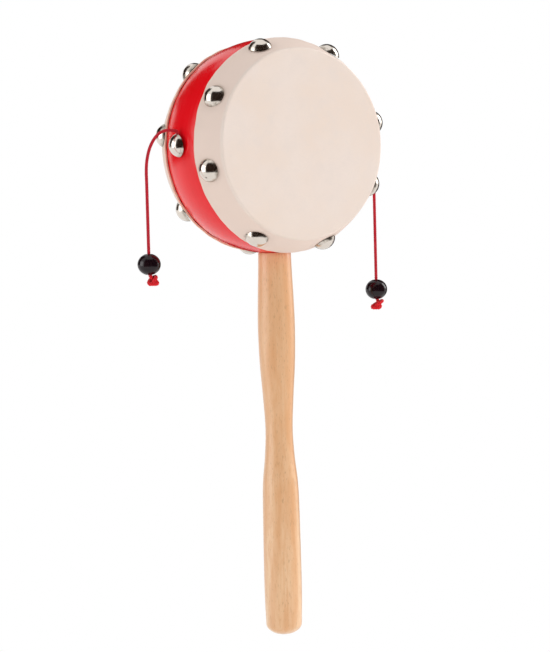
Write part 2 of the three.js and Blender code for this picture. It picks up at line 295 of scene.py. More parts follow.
class Graph:
    """Adds nodes to one node tree."""

    def __init__(self, tree: bpy.types.NodeTree) -> None:
        """Starts with the tree as it is."""
        self.tree = tree

    def add(
        self,
        kind: str,
        settings: dict[str, Any] | None = None,
        sockets: dict[Union[str, int], Value] | None = None,
        output: str | None = None,
    ) -> Wire | None:
        """Adds one node.

        Args:
            kind: the node's type.
            settings: its own properties, which are set first.
            sockets: values or wires by the input's identifier, name or place.
            output: the identifier or name of the wanted output; the first one that is on, by default.

        Returns:
            The wanted output, or None on a node that has none.
        """
        node = self.tree.nodes.new(kind)
        for name, value in (settings or {}).items():
            setattr(node, name, value)
        for key, value in (sockets or {}).items():
            self._feed(self._socket(node.inputs, key), value)
        if not len(node.outputs):
            return None
        found = self._socket(node.outputs, output) if output else next(s for s in node.outputs if s.enabled)
        return Wire(self, found)

    @staticmethod
    def _socket(sockets: Sequence[bpy.types.NodeSocket], key: Union[str, int]) -> bpy.types.NodeSocket:
        """Finds one of a node's sockets.

        Args:
            sockets: the node's inputs or outputs.
            key: the place, the identifier, or the name of one that is on.

        Returns:
            The socket.
        """
        if isinstance(key, int):
            return sockets[key]
        same = [s for s in sockets if s.identifier == key]
        return (same or [s for s in sockets if s.name == key and s.enabled])[0]

    def _feed(self, socket: bpy.types.NodeSocket, value: Value) -> None:
        """Links or sets one input.

        Args:
            socket: the input.
            value: a wire to link, several for a socket that joins them, or a plain value to set.
        """
        if isinstance(value, list):
            for wire in value:
                self.tree.links.new(wire.socket, socket)
        elif isinstance(value, Wire):
            self.tree.links.new(value.socket, socket)
        elif socket.type == "VECTOR" and isinstance(value, (int, float)):
            socket.default_value = (value, value, value)
        elif socket.type == "RGBA" and len(value) == 3:
            socket.default_value = (*value, 1)
        else:
            socket.default_value = value

    def parts(self, vector: Wire) -> tuple[Wire, Wire, Wire]:
        """The X, Y and Z of a vector."""
        x = self.add("ShaderNodeSeparateXYZ", sockets={0: vector})
        return x, x.other("Y"), x.other("Z")

    def vector(self, x: Value, y: Value, z: Value) -> Wire:
        """A vector of three numbers or wires."""
        return self.add("ShaderNodeCombineXYZ", sockets={0: x, 1: y, 2: z})


class Paint(Graph):
    """The graph of one material, with the helpers that its finishes share."""

    def __init__(self, name: str) -> None:
        """Starts a new, empty material.

        Args:
            name: its name.
        """
        self.material = bpy.data.materials.new(name)
        self.material.use_nodes = True
        self.material.node_tree.nodes.clear()
        super().__init__(self.material.node_tree)

    def place(self, centre: Vector = DRUM_CENTRE) -> Wire:
        """Object coordinates in millimetres from a centre in the frame.

        Args:
            centre: the point of the frame that the pattern is measured from.

        Returns:
            The vector.
        """
        at = self.add("ShaderNodeTexCoord", output="Object")
        settings = {"Location": tuple(-centre / MM), "Scale": (1 / MM,) * 3}
        return self.add("ShaderNodeMapping", {"vector_type": "POINT"}, {"Vector": at, **settings})

    def attribute(self, name: str, output: str = "Fac") -> Wire:
        """A named attribute of the mesh."""
        return self.add("ShaderNodeAttribute", {"attribute_name": name}, output=output)

    def noise(
        self, at: Wire, scale: Union[float, Triple], detail: float = 2.0, roughness: float = 0.5
    ) -> Wire:
        """Cloudy noise from 0 to 1.

        Args:
            at: the place, in millimetres.
            scale: how many clouds there are in a millimetre, or how many along each axis.
            detail: how many finer layers are added.
            roughness: how strong those are.

        Returns:
            The noise.
        """
        if isinstance(scale, tuple):
            at, scale = at * scale, 1.0
        sockets = {"Vector": at, "Scale": scale, "Detail": detail, "Roughness": roughness}
        return self.add("ShaderNodeTexNoise", {"noise_dimensions": "3D"}, sockets, "Fac")

    def mix(self, share: Value, first: Value, second: Value) -> Wire:
        """A colour between two: first where share is 0, second where it is 1."""
        sockets = {"Factor_Float": share, "A_Color": first, "B_Color": second}
        return self.add("ShaderNodeMix", {"data_type": "RGBA"}, sockets, "Result_Color")

    def bump(self, height: Wire, depth: float, strength: float = 1.0, under: Wire | None = None) -> Wire:
        """Turns a height from 0 to 1 into a normal.

        Args:
            height: the height.
            depth: what a height of 1 stands for, in millimetres.
            strength: how much of it shows.
            under: a coarser bump that this one lies on.

        Returns:
            The normal.
        """
        sockets = {"Height": height, "Distance": depth * MM, "Strength": strength}
        if under is not None:
            sockets["Normal"] = under
        return self.add("ShaderNodeBump", sockets=sockets)

    def finish(self, **sockets: Value) -> bpy.types.Material:
        """Ends the material in a Principled shader.

        Args:
            **sockets: the shader's values or wires, with _ for a space in a socket's name.

        Returns:
            The finished material.
        """
        named = {name.replace("_", " "): value for name, value in sockets.items()}
        shader = self.add("ShaderNodeBsdfPrincipled", sockets=named)
        self.add("ShaderNodeOutputMaterial", sockets={"Surface": shader})
        return self.material


@dataclass(frozen=True)
class RedPaint:
    """Gloss paint, brushed on the turned shell while it spun."""

    deep: Colour = (0.82, 0.0, 0.003)
    bright: Colour = (0.88, 0.002, 0.010)
    roughness: float = 0.20
    gloss: float = 0.42
    brush_lines: float = 1.6

    def material(self) -> bpy.types.Material:
        """Builds the material: soft brush lines round the shell under a clear gloss.

        Returns:
            The material.
        """
        paint = Paint("red_paint")
        at = paint.place()
        lines = paint.noise(at, (0.02, self.brush_lines, 0.02), 3.0, 0.55)
        flow = paint.noise(at, 0.06)
        peel = paint.noise(at, 0.9, 1.0)
        colour = paint.mix(flow.rise(0.3, 0.7) * 0.7 + lines.rise(0.35, 0.65) * 0.3, self.deep, self.bright)
        waves = paint.bump(lines, 0.05, 0.16)
        normal = paint.bump(peel, 0.02, 0.25, waves)
        return paint.finish(
            Base_Color=colour,
            Roughness=lines.rise(0.2, 0.8, self.roughness - 0.03, self.roughness + 0.05),
            Normal=normal,
            Specular_IOR_Level=self.gloss,
        )


@dataclass(frozen=True)
class Hide:
    """Bleached hide: pale, matt and faintly cloudy, with fine fibres and a tan cut edge that is partly
    painted light.
    """

    pale: Colour = (0.835, 0.715, 0.64)
    warm: Colour = (0.83, 0.69, 0.595)
    shade: Colour = (0.79, 0.68, 0.615)
    # The skirt's colour is painted shade and red light bounced from the shell.
    skirt: Colour = (0.82, 0.645, 0.555)
    # The cut edge's colour is partly the raw edge's own tan and partly painted light, kept pale over the
    # shade of the edge's step.
    cut: Colour = (0.90, 0.64, 0.49)
    roughness: float = 0.62
    face_depth: Point = (24.8, 26.2)

    def material(self) -> bpy.types.Material:
        """Builds the material: clouds, veins and bent fibres, painted shade and red light from the shell on
        the skirt, and a tan cut edge that is partly painted light.

        Returns:
            The material.
        """
        paint = Paint("hide")
        at = paint.place()
        depth = paint.parts(at)[1].size()
        clouds = paint.noise(at, 0.035, 3.0, 0.55)
        drift = paint.noise(at + (37.0, 11.0, 5.0), 0.09, 4.0, 0.6)
        bend = paint.add("ShaderNodeTexNoise", sockets={"Vector": at, "Scale": 0.12}, output="Color")
        bent = at + bend * 9.0
        fibres = paint.noise(bent, (0.5, 1.4, 2.6), 3.0, 0.6)
        veins = (paint.noise(bent, (0.06, 0.1, 0.16)) - 0.5).size()
        pores = paint.add("ShaderNodeTexVoronoi", sockets={"Vector": at, "Scale": 1.9}, output="Distance")
        tone = paint.mix(clouds.rise(0.32, 0.68), self.pale, self.warm)
        tone = paint.mix(drift.rise(0.45, 0.8) * 0.7, tone, self.shade)
        tone = paint.mix(veins.rise(0.0, 0.022, 0.22, 0.0), tone, self.shade)
        tone = paint.mix(fibres.rise(0.45, 0.75) * 0.45, tone, self.shade)
        # Painted shade and red bounce: off the face, the skirt is tinted warmer and darker.
        tone = paint.mix(depth.rise(*self.face_depth, 0.6, 0.0), tone, self.skirt)
        tone = paint.mix(paint.attribute("cut"), tone, self.cut)
        ground = paint.bump(fibres, 0.08, 0.25)
        normal = paint.bump(pores, 0.05, 0.16, ground)
        return paint.finish(
            Base_Color=tone,
            Roughness=drift.rise(0.3, 0.7, self.roughness - 0.06, self.roughness + 0.08),
            Normal=normal,
            Specular_IOR_Level=0.35,
            Sheen_Weight=0.05,
        )


@dataclass(frozen=True)
class NickelPlate:
    """Bright nickel on pressed steel, a little dull and stained at the rim."""

    bright: Colour = (0.76, 0.69, 0.62)
    stain: Colour = (0.36, 0.31, 0.25)
    roughness: float = 0.145

    def material(self) -> bpy.types.Material:
        """Builds the material: a mirror with faint smears and dents, stained towards the rim.

        Returns:
            The material.
        """
        paint = Paint("nickel")
        at = paint.place()
        smear = paint.noise(at, 0.5, 3.0, 0.6)
        dents = paint.noise(at, 0.42, 1.0)
        rim = paint.attribute("rim") * smear.rise(0.25, 0.7)
        return paint.finish(
            Base_Color=paint.mix(rim, self.bright, self.stain),
            Metallic=1.0,
            Roughness=smear.rise(0.3, 0.75, self.roughness, self.roughness + 0.08) + rim * 0.15,
            Normal=paint.bump(dents, 0.22, 0.22),
        )


@dataclass(frozen=True)
class Beech:
    """Steamed beech with a thin satin varnish: long soft grain and short dark flecks."""

    pale: Colour = (0.88, 0.585, 0.345)
    warm: Colour = (0.745, 0.37, 0.155)
    dark: Colour = (0.48, 0.235, 0.10)
    pith: Triple = (41.0, 66.0, 0.0)
    ring_width: float = 5.4
    ring_drift: float = 14.0
    warm_heights: Point = (0.0, 60.0)
    roughness: float = 0.42

    def material(self) -> bpy.types.Material:
        """Builds the material: growth rings about a far pith, drawn out along the handle.

        Returns:
            The material.
        """
        paint = Paint("beech")
        at = paint.place(Vector((0, 0, 0)))
        height = paint.parts(at)[2]
        slow = paint.noise(at, (0.05, 0.05, 0.011))
        reach = ((at - self.pith) * (1.0, 1.0, 0.015)).length()
        rings = ((reach + slow * self.ring_drift) * (TURN / self.ring_width)).sine() * 0.5 + 0.5
        streaks = paint.noise(at, (1.5, 1.5, 0.045), 3.0, 0.6)
        broad = paint.noise(at, (0.22, 0.22, 0.014))
        flecks = paint.noise(at, (2.3, 2.3, 0.4), 1.0).rise(0.62, 0.72)
        mottle = paint.noise(at, (0.55, 0.55, 0.13), 3.0, 0.6)
        pores = paint.noise(at, (8.0, 8.0, 0.9), 1.0).rise(0.62, 0.8)
        tone = paint.mix(rings.rise(0.2, 0.95) * 0.45 + broad.rise(0.35, 0.7) * 0.4, self.pale, self.warm)
        tone = paint.mix(height.rise(*self.warm_heights) * 0.45, tone, self.warm)
        tone = paint.mix(mottle.rise(0.42, 0.68) * 0.45, tone, self.warm)
        tone = paint.mix(streaks.rise(0.45, 0.75) * 0.5, tone, self.warm)
        tone = paint.mix(flecks * 0.45 + pores * 0.22, tone, self.dark)
        grain = paint.bump(streaks + pores * 0.6, 0.03, 0.35)
        return paint.finish(
            Base_Color=tone,
            Roughness=streaks.rise(0.3, 0.7, self.roughness - 0.04, self.roughness + 0.08),
            Normal=paint.bump(1 - flecks, 0.04, 0.4, grain),
            Coat_Weight=0.8,
            Coat_Roughness=0.42,
            Sheen_Weight=0.2,
            Sheen_Roughness=0.4,
        )


@dataclass(frozen=True)
class BraidedCord:
    """Dyed braid, each strand of many twisted fibres."""

    name: str = "red_cord"
    bright: Colour = (0.70, 0.012, 0.030)
    deep: Colour = (0.38, 0.006, 0.022)
    fibres: int = 5
    twist: float = 5.5

    def material(self) -> bpy.types.Material:
        """Builds the material: fibres that wind round each strand, from the strands' own attributes.

        Returns:
            The material.
        """
        paint = Paint(self.name)
        sine, cosine, _ = paint.parts(paint.attribute("round", "Vector"))
        angle = sine.maths("ARCTAN2", sine, cosine)
        along = paint.attribute("lay") / MM
        threads = (angle * self.fibres + along * self.twist).sine() * 0.5 + 0.5
        dye = paint.noise(paint.vector(along, paint.attribute("strand") * 40.0, 0.0), 0.8, 3.0)
        tone = paint.mix(threads.rise(0.15, 0.8) * 0.6 + dye.rise(0.3, 0.7) * 0.4, self.deep, self.bright)
        return paint.finish(
            Base_Color=tone,
            Roughness=threads.rise(0.0, 1.0, 0.85, 0.66),
            Normal=paint.bump(threads, 0.04, 0.6),
            Specular_IOR_Level=0.3,
            Sheen_Weight=0.2,
        )


@dataclass(frozen=True)
class BlackLacquer:
    """Black lacquer over a turned wooden bead, with the grain just felt through it."""

    black: Colour = (0.007, 0.002, 0.004)
    brown: Colour = (0.014, 0.005, 0.007)
    gloss: float = 0.36

    def material(self) -> bpy.types.Material:
        """Builds the material: lacquer that pools a little over upright grain.

        Returns:
            The material.
        """
        paint = Paint("black_lacquer")
        at = paint.place()
        grain = paint.noise(at, (1.4, 1.4, 0.3))
        pool = paint.noise(at, 0.35, 1.0)
        return paint.finish(
            Base_Color=paint.mix(grain.rise(0.4, 0.7), self.black, self.brown),
            Roughness=pool.rise(0.3, 0.7, 0.15, 0.21),
            Normal=paint.bump(grain + pool, 0.02, 0.08),
            Specular_IOR_Level=self.gloss,
        )


class GeometryTool(Graph):
    """A Geometry Nodes tree with named inputs, which works on an object's own geometry."""

    def __init__(self, name: str) -> None:
        """Starts a tree that has one geometry in and one out.

        Args:
            name: the tree's name.
        """
        tree = bpy.data.node_groups.new(name, "GeometryNodeTree")
        tree.interface.new_socket(name="Geometry", in_out="INPUT", socket_type="NodeSocketGeometry")
        tree.interface.new_socket(name="Geometry", in_out="OUTPUT", socket_type="NodeSocketGeometry")
        super().__init__(tree)
        self.given = tree.nodes.new("NodeGroupInput")
        self.identifiers: dict[str, str] = {}
        self.material = self.input("Material", SocketKind.MATERIAL)

    def input(self, name: str, kind: SocketKind = SocketKind.NUMBER) -> Wire:
        """Adds a named input.

        Args:
            name: the input's name.
            kind: what it takes.

        Returns:
            The wire that carries it into the tree.
        """
        item = self.tree.interface.new_socket(name=name, in_out="INPUT", socket_type=kind.value)
        self.identifiers[name] = item.identifier
        return Wire(self, next(s for s in self.given.outputs if s.identifier == item.identifier))

    @property
    def geometry(self) -> Wire:
        """The geometry that the tree is given."""
        return Wire(self, self.given.outputs[0])

    def object_geometry(self, source: Wire) -> Wire:
        """The geometry of an object input."""
        return self.add("GeometryNodeObjectInfo", sockets={"Object": source}, output="Geometry")

    def named(self, name: str, data_type: str = "FLOAT") -> Wire:
        """A named attribute of the geometry."""
        return self.add("GeometryNodeInputNamedAttribute", {"data_type": data_type}, {"Name": name})

    def stored(self, geometry: Wire, name: str, value: Wire, data_type: str = "FLOAT") -> Wire:
        """Keeps a value on the points of a geometry.

        Args:
            geometry: what carries it.
            name: the attribute's name.
            value: the field that it takes.
            data_type: the kind of attribute.

        Returns:
            The geometry with the attribute.
        """
        settings = {"data_type": data_type, "domain": "POINT"}
        sockets = {"Geometry": geometry, "Name": name, "Value": value}
        return self.add("GeometryNodeStoreNamedAttribute", settings, sockets)

    def facing(self, direction: Wire) -> Wire:
        """The rotation that turns +Z to a direction."""
        return self.add("FunctionNodeAlignRotationToVector", {"axis": "Z"}, {"Vector": direction})

    def close(self, geometry: Wire) -> GeometryTool:
        """Ends the tree: instances are made real and take the material.

        Args:
            geometry: what the tree has made.

        Returns:
            The tool itself, ready to be run.
        """
        smooth = self.add("GeometryNodeSetShadeSmooth", sockets={"Geometry": geometry})
        real = self.add("GeometryNodeRealizeInstances", sockets={"Geometry": smooth})
        dressed = self.add("GeometryNodeSetMaterial", sockets={"Geometry": real, "Material": self.material})
        self.add("NodeGroupOutput", sockets={0: dressed})
        return self

    def run(self, name: str, source: bpy.types.Mesh, values: dict[str, Value]) -> bpy.types.Object:
        """Runs the tree once and keeps its result as a plain mesh.

        Args:
            name: the name of the new piece.
            source: the mesh that the tree is given.
            values: what each named input gets.

        Returns:
            The new piece, with no modifier.
        """
        piece = new_object(name, source)
        modifier = piece.modifiers.new("made", "NODES")
        modifier.node_group = self.tree
        for key, value in values.items():
            modifier[self.identifiers[key]] = value
        made = evaluated_mesh(piece)
        piece.modifiers.clear()
        piece.data = made
        return piece


def new_object(name: str, mesh: bpy.types.Mesh) -> bpy.types.Object:
    """Puts a mesh in the scene as an object at the origin.

    Args:
        name: the object's name.
        mesh: its mesh.

    Returns:
        The object.
    """
    piece = bpy.data.objects.new(name, mesh)
    bpy.context.scene.collection.objects.link(piece)
    return piece


def evaluated_mesh(piece: bpy.types.Object) -> bpy.types.Mesh:
    """Takes the mesh that an object's modifiers give.

    Args:
        piece: the object.

    Returns:
        That mesh, as a mesh of its own.
    """
    graph = bpy.context.evaluated_depsgraph_get()
    graph.update()
    return bpy.data.meshes.new_from_object(piece.evaluated_get(graph), depsgraph=graph)


def finished_mesh(name: str, work: bmesh.types.BMesh) -> bpy.types.Mesh:
    """Makes a mesh of a working mesh, which is freed.

    Args:
        name: the new mesh's name.
        work: the working mesh.

    Returns:
        The mesh.
    """
    mesh = bpy.data.meshes.new(name)
    work.to_mesh(mesh)
    work.free()
    return mesh


def turned_outward(mesh: bpy.types.Mesh, sharp_angle: float = 40.0) -> bpy.types.Mesh:
    """Points a closed mesh's faces outward and shades it smooth up to an angle.

    Args:
        mesh: the mesh, changed in place.
        sharp_angle: degrees between two faces, from which their edge stays sharp.

    Returns:
        The same mesh.
    """
    work = bmesh.new()
    work.from_mesh(mesh)
    bmesh.ops.recalc_face_normals(work, faces=work.faces)
    for edge in work.edges:
        edge.smooth = edge.calc_face_angle(0.0) < math.radians(sharp_angle)
    for face in work.faces:
        face.smooth = True
    work.to_mesh(mesh)
    work.free()
    return mesh


def surface_of_rings(
    name: str, rings: Sequence[Ring], marks: dict[str, Sequence[float]] | None = None
) -> bpy.types.Mesh:
    """Joins rings of points into one closed surface.

    Args:
        name: the mesh's name.
        rings: equal rings from one end to the other, where a ring of one point is a pole. Without
            poles the last ring joins the first.
        marks: attributes for the points, with one number for each ring.

    Returns:
        The mesh in the frame, with its faces outward.
    """
    work = bmesh.new()
    made = [[work.verts.new(in_frame(point)) for point in ring] for ring in rings]
    pairs = list(zip(made, made[1:]))
    if len(made[0]) > 1 and len(made[-1]) > 1:
        pairs.append((made[-1], made[0]))
    for first, second in pairs:
        count = max(len(first), len(second))
        for i in range(count):
            corners = [first[i % len(first)], first[(i + 1) % len(first)]]
            corners += [second[(i + 1) % len(second)], second[i % len(second)]]
            work.faces.new(dict.fromkeys(corners))
    mesh = finished_mesh(name, work)
    for mark, numbers in (marks or {}).items():
        attribute = mesh.attributes.new(mark, "FLOAT", "POINT")
        values = [number for ring, number in zip(rings, numbers) for _ in ring]
        attribute.data.foreach_set("value", values)
    return turned_outward(mesh)


def circle(radius: float, height: float, count: int) -> Ring:
    """Lays a ring of points about +Z.

    Args:
        radius: its radius; 0 gives a pole.
        height: its height along Z.
        count: how many points it has.

    Returns:
        The ring.
    """
    if radius == 0:
        return [Vector((0, 0, height))]
    angles = (TURN * i / count for i in range(count))
    return [Vector((radius * math.cos(a), radius * math.sin(a), height)) for a in angles]


def attach(piece: bpy.types.Object, body: str, slot: Slot, *nodes: str) -> bpy.types.Object:
    """Makes a piece ride on a body, and stand for its CAD nodes.

    Args:
        piece: the finished piece.
        body: the body that carries it.
        slot: not used.
        *nodes: the CAD nodes that it replaces.

    Returns:
        The piece.
    """
    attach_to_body(piece, body)
    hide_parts(*nodes)
    LOG.info("%s rides on %s, %d faces", piece.name, body, len(piece.data.polygons))
    return piece


@dataclass(frozen=True)
class Barrel:
    """The shape of the shell's side, which everything on the drum is set on."""

    belly_radius: float = 49.4
    rim_radius: float = 42.4
    half_depth: float = 25.5

    @property
    def arc_radius(self) -> float:
        """The radius of the arc that the side follows along its depth."""
        sag = self.belly_radius - self.rim_radius
        return (self.half_depth**2 + sag**2) / (2 * sag)

    def radius(self, depth: float) -> float:
        """The side's radius at a depth from the middle."""
        return self.belly_radius - self.arc_radius + math.sqrt(self.arc_radius**2 - depth**2)

    def seat(self, angle: float, depth: float, lift: float, tilt: float = 0.0) -> Seat:
        """A place on the side.

        Args:
            angle: degrees from +X towards +Z.
            depth: how far it is from the middle, along Y.
            lift: how far it is off the side.
            tilt: degrees that its outward direction leans against the angle's direction.

        Returns:
            The point and its outward direction.
        """
        lean, turn = math.asin(depth / self.arc_radius), math.radians(angle)
        outward = Vector((math.cos(turn) * math.cos(lean), math.sin(lean), math.sin(turn) * math.cos(lean)))
        radius = self.radius(depth)
        point = Vector((math.cos(turn) * radius, depth, math.sin(turn) * radius)) + outward * lift
        along = Vector((-math.sin(turn), 0, math.cos(turn)))
        leant = outward * math.cos(math.radians(tilt)) - along * math.sin(math.radians(tilt))
        return point, leant


BARREL = Barrel()


def from_drum(azimuth: float, elevation: float) -> Vector:
    """The direction from the drum's centre to where it is seen from.

    Args:
        azimuth: degrees to the right of the front head's own direction.
        elevation: degrees above the horizon.

    Returns:
        The direction, of length 1.
    """
    turn, rise = math.radians(azimuth), math.radians(elevation)
    return Vector((math.sin(turn) * math.cos(rise), -math.cos(turn) * math.cos(rise), math.sin(rise)))


@dataclass(frozen=True)
class Softbox:
    """A soft rectangular lamp that faces the drum, with its place and sizes in degrees and metres."""

    name: str
    azimuth: float
    elevation: float
    distance: float
    width: float
    height: float
    power: float
    mirrored: bool = True

    def hang(self) -> None:
        """Puts the lamp in the scene."""
        data = bpy.data.lights.new(self.name, "AREA")
        data.shape = "RECTANGLE"
        data.size, data.size_y = self.width, self.height
        data.energy = self.power
        lamp = bpy.data.objects.new(self.name, data)
        back = from_drum(self.azimuth, self.elevation)
        lamp.location = DRUM_CENTRE + back * self.distance
        lamp.rotation_mode = "QUATERNION"
        lamp.rotation_quaternion = (-back).to_track_quat("-Z", "Y")
        lamp.visible_camera = False
        lamp.visible_glossy = self.mirrored
        bpy.context.scene.collection.objects.link(lamp)


@dataclass(frozen=True)
class Fill(Softbox):
    """A softbox that only brightens, because nothing mirrors it."""

    mirrored: bool = False


@dataclass(frozen=True)
class Flag:
    """A stretch of a dark round wall about the drum, which only glossy pieces mirror.

    Its edges are given in degrees as they are seen from the drum's centre.
    """

    name: str
    start: float
    end: float
    low: float
    high: float
    radius: float = 0.72
    steps: int = 16

    def stand(self, cloth: bpy.types.Material) -> None:
        """Puts the flag in the scene.

        Args:
            cloth: its material.
        """
        work = bmesh.new()
        columns = []
        for step in range(self.steps + 1):
            foot = from_drum(lerp(self.start, self.end, step / self.steps), 0.0) * self.radius
            heights = [self.radius * math.tan(math.radians(angle)) for angle in (self.low, self.high)]
            columns.append([work.verts.new(DRUM_CENTRE + foot + Vector((0, 0, z))) for z in heights])
        for (a, b), (c, d) in zip(columns, columns[1:]):
            work.faces.new((a, b, d, c))
        mesh = finished_mesh(self.name, work)
        mesh.materials.append(cloth)
        flag = new_object(self.name, mesh)
        for kind in ("camera", "diffuse", "transmission", "volume_scatter", "shadow"):
            setattr(flag, f"visible_{kind}", False)


SOFTBOXES = (
    Softbox("left_softbox", azimuth=-108, elevation=6, distance=1.45, width=0.85, height=1.0, power=6.6),
    Softbox("right_softbox", azimuth=78, elevation=22, distance=1.6, width=0.6, height=1.2, power=9.8),
    Fill("top_fill", azimuth=75, elevation=74, distance=1.6, width=1.2, height=0.8, power=6.3),
    Fill("front_fill", azimuth=24, elevation=4, distance=1.6, width=1.1, height=0.9, power=6.5),
    Fill("under_fill", azimuth=-12, elevation=-22, distance=0.85, width=0.5, height=0.3, power=0.75),
    Fill("rear_fill", azimuth=172, elevation=12, distance=1.6, width=1.0, height=0.8, power=5.0),
)
FLAGS = (
    Flag("front_flag", start=-84, end=62, low=-26, high=56),
    Flag("left_rear_flag", start=-168, end=-129, low=-6, high=60),
    Flag("rear_flag", start=-184, end=-168, low=16, high=44),
    Flag("right_rear_flag", start=95, end=160, low=-26, high=58),
)


@dataclass(frozen=True)
class Studio:
    """The camera of the photograph, plain soft light, and a pale floor below the drum."""

    azimuth: float = -33.0
    elevation: float = 3.3
    roll: float = -1.5
    distance: float = 0.9
    sensor: float = 36.0
    focal_pixels: float = 1947.6
    image_width: float = 550.0
    image_height: float = 652.0
    drum_pixel: Point = (271.68, 146.5)
    floor_height: float = -0.3
    floor_half_width: float = 6.0
    floor_colour: Colour = (0.86, 0.855, 0.85)
    floor_glow: Point = (0.55, 1.0)
    fade_distances: Point = (0.25, 0.95)
    room_light: float = 0.525
    flag_colour: Colour = (0.026, 0.016, 0.012)

    def camera(self) -> None:
        """Sets up the camera so that the drum's centre falls on its pixel."""
        back = from_drum(self.azimuth, self.elevation)
        turn, roll = math.radians(self.azimuth), math.radians(self.roll)
        level = Vector((math.cos(turn), math.sin(turn), 0))
        upright = back.cross(level)
        right = level * math.cos(roll) + upright * math.sin(roll)
        up = upright * math.cos(roll) - level * math.sin(roll)
        metres = self.distance / self.focal_pixels
        across = (self.drum_pixel[0] - self.image_width / 2) * metres
        down = (self.drum_pixel[1] - self.image_height / 2) * metres
        data = bpy.data.cameras.new("camera")
        data.sensor_width = self.sensor
        data.lens = self.focal_pixels * self.sensor / self.image_height
        camera = bpy.data.objects.new("camera", data)
        place = Matrix((right, up, back)).transposed().to_4x4()
        place.translation = DRUM_CENTRE - right * across + up * down + back * self.distance
        camera.matrix_world = place
        bpy.context.scene.collection.objects.link(camera)
        bpy.context.scene.camera = camera

    def background(self) -> None:
        """Makes the world white where it is seen or mirrored, and softer as a light."""
        world = bpy.data.worlds.new("room")
        bpy.context.scene.world = world
        world.use_nodes = True
        world.node_tree.nodes.clear()
        graph = Graph(world.node_tree)
        seen = self._seen(graph)
        white = graph.add("ShaderNodeBackground", sockets={"Color": (1, 1, 1), "Strength": 1.0})
        soft = graph.add("ShaderNodeBackground", sockets={"Color": (1, 1, 1), "Strength": self.room_light})
        both = graph.add("ShaderNodeMixShader", sockets={0: seen, 1: soft, 2: white})
        graph.add("ShaderNodeOutputWorld", sockets={"Surface": both})

    @staticmethod
    def _seen(graph: Graph) -> Wire:
        """Tells what is looked at from what only lights.

        Args:
            graph: the graph of the world or of a material.

        Returns:
            1 for a ray from the camera, a mirror or a glass, else 0.
        """
        camera = graph.add("ShaderNodeLightPath", output="Is Camera Ray")
        mirror = camera.other("Is Glossy Ray")
        glass = camera.other("Is Transmission Ray")
        return camera.at_least(mirror).at_least(glass)

    def floor(self) -> None:
        """Lays the floor, which keeps a shadow near the drum and fades into the white background."""
        work = bmesh.new()
        bmesh.ops.create_grid(work, x_segments=1, y_segments=1, size=self.floor_half_width)
        mesh = finished_mesh("floor", work)
        middle = Vector((0, 0, self.floor_height))
        mesh.transform(Matrix.Translation(middle))
        paint = Paint("floor")
        distance = (paint.place(middle) * MM).length()
        fade = self._seen(paint) * distance.rise(*self.fade_distances, *self.floor_glow)
        matt = paint.add("ShaderNodeBsdfDiffuse", sockets={"Color": self.floor_colour})
        glow = paint.add("ShaderNodeEmission", sockets={"Color": (1, 1, 1), "Strength": 1.0})
        clear = paint.add("ShaderNodeBsdfTransparent")
        top = paint.add("ShaderNodeMixShader", sockets={0: fade, 1: matt, 2: glow})
        under = paint.add("ShaderNodeNewGeometry", output="Backfacing")
        both = paint.add("ShaderNodeMixShader", sockets={0: under, 1: top, 2: clear})
        paint.add("ShaderNodeOutputMaterial", sockets={"Surface": both})
        mesh.materials.append(paint.material)
        new_object("floor", mesh)

    def lights(self) -> None:
        """Hangs the softboxes and stands the dark flags between them."""
        for softbox in SOFTBOXES:
            softbox.hang()
        cloth = Paint("flag")
        dark = cloth.add("ShaderNodeEmission", sockets={"Color": self.flag_colour, "Strength": 1.0})
        cloth.add("ShaderNodeOutputMaterial", sockets={"Surface": dark})
        for flag in FLAGS:
            flag.stand(cloth.material)


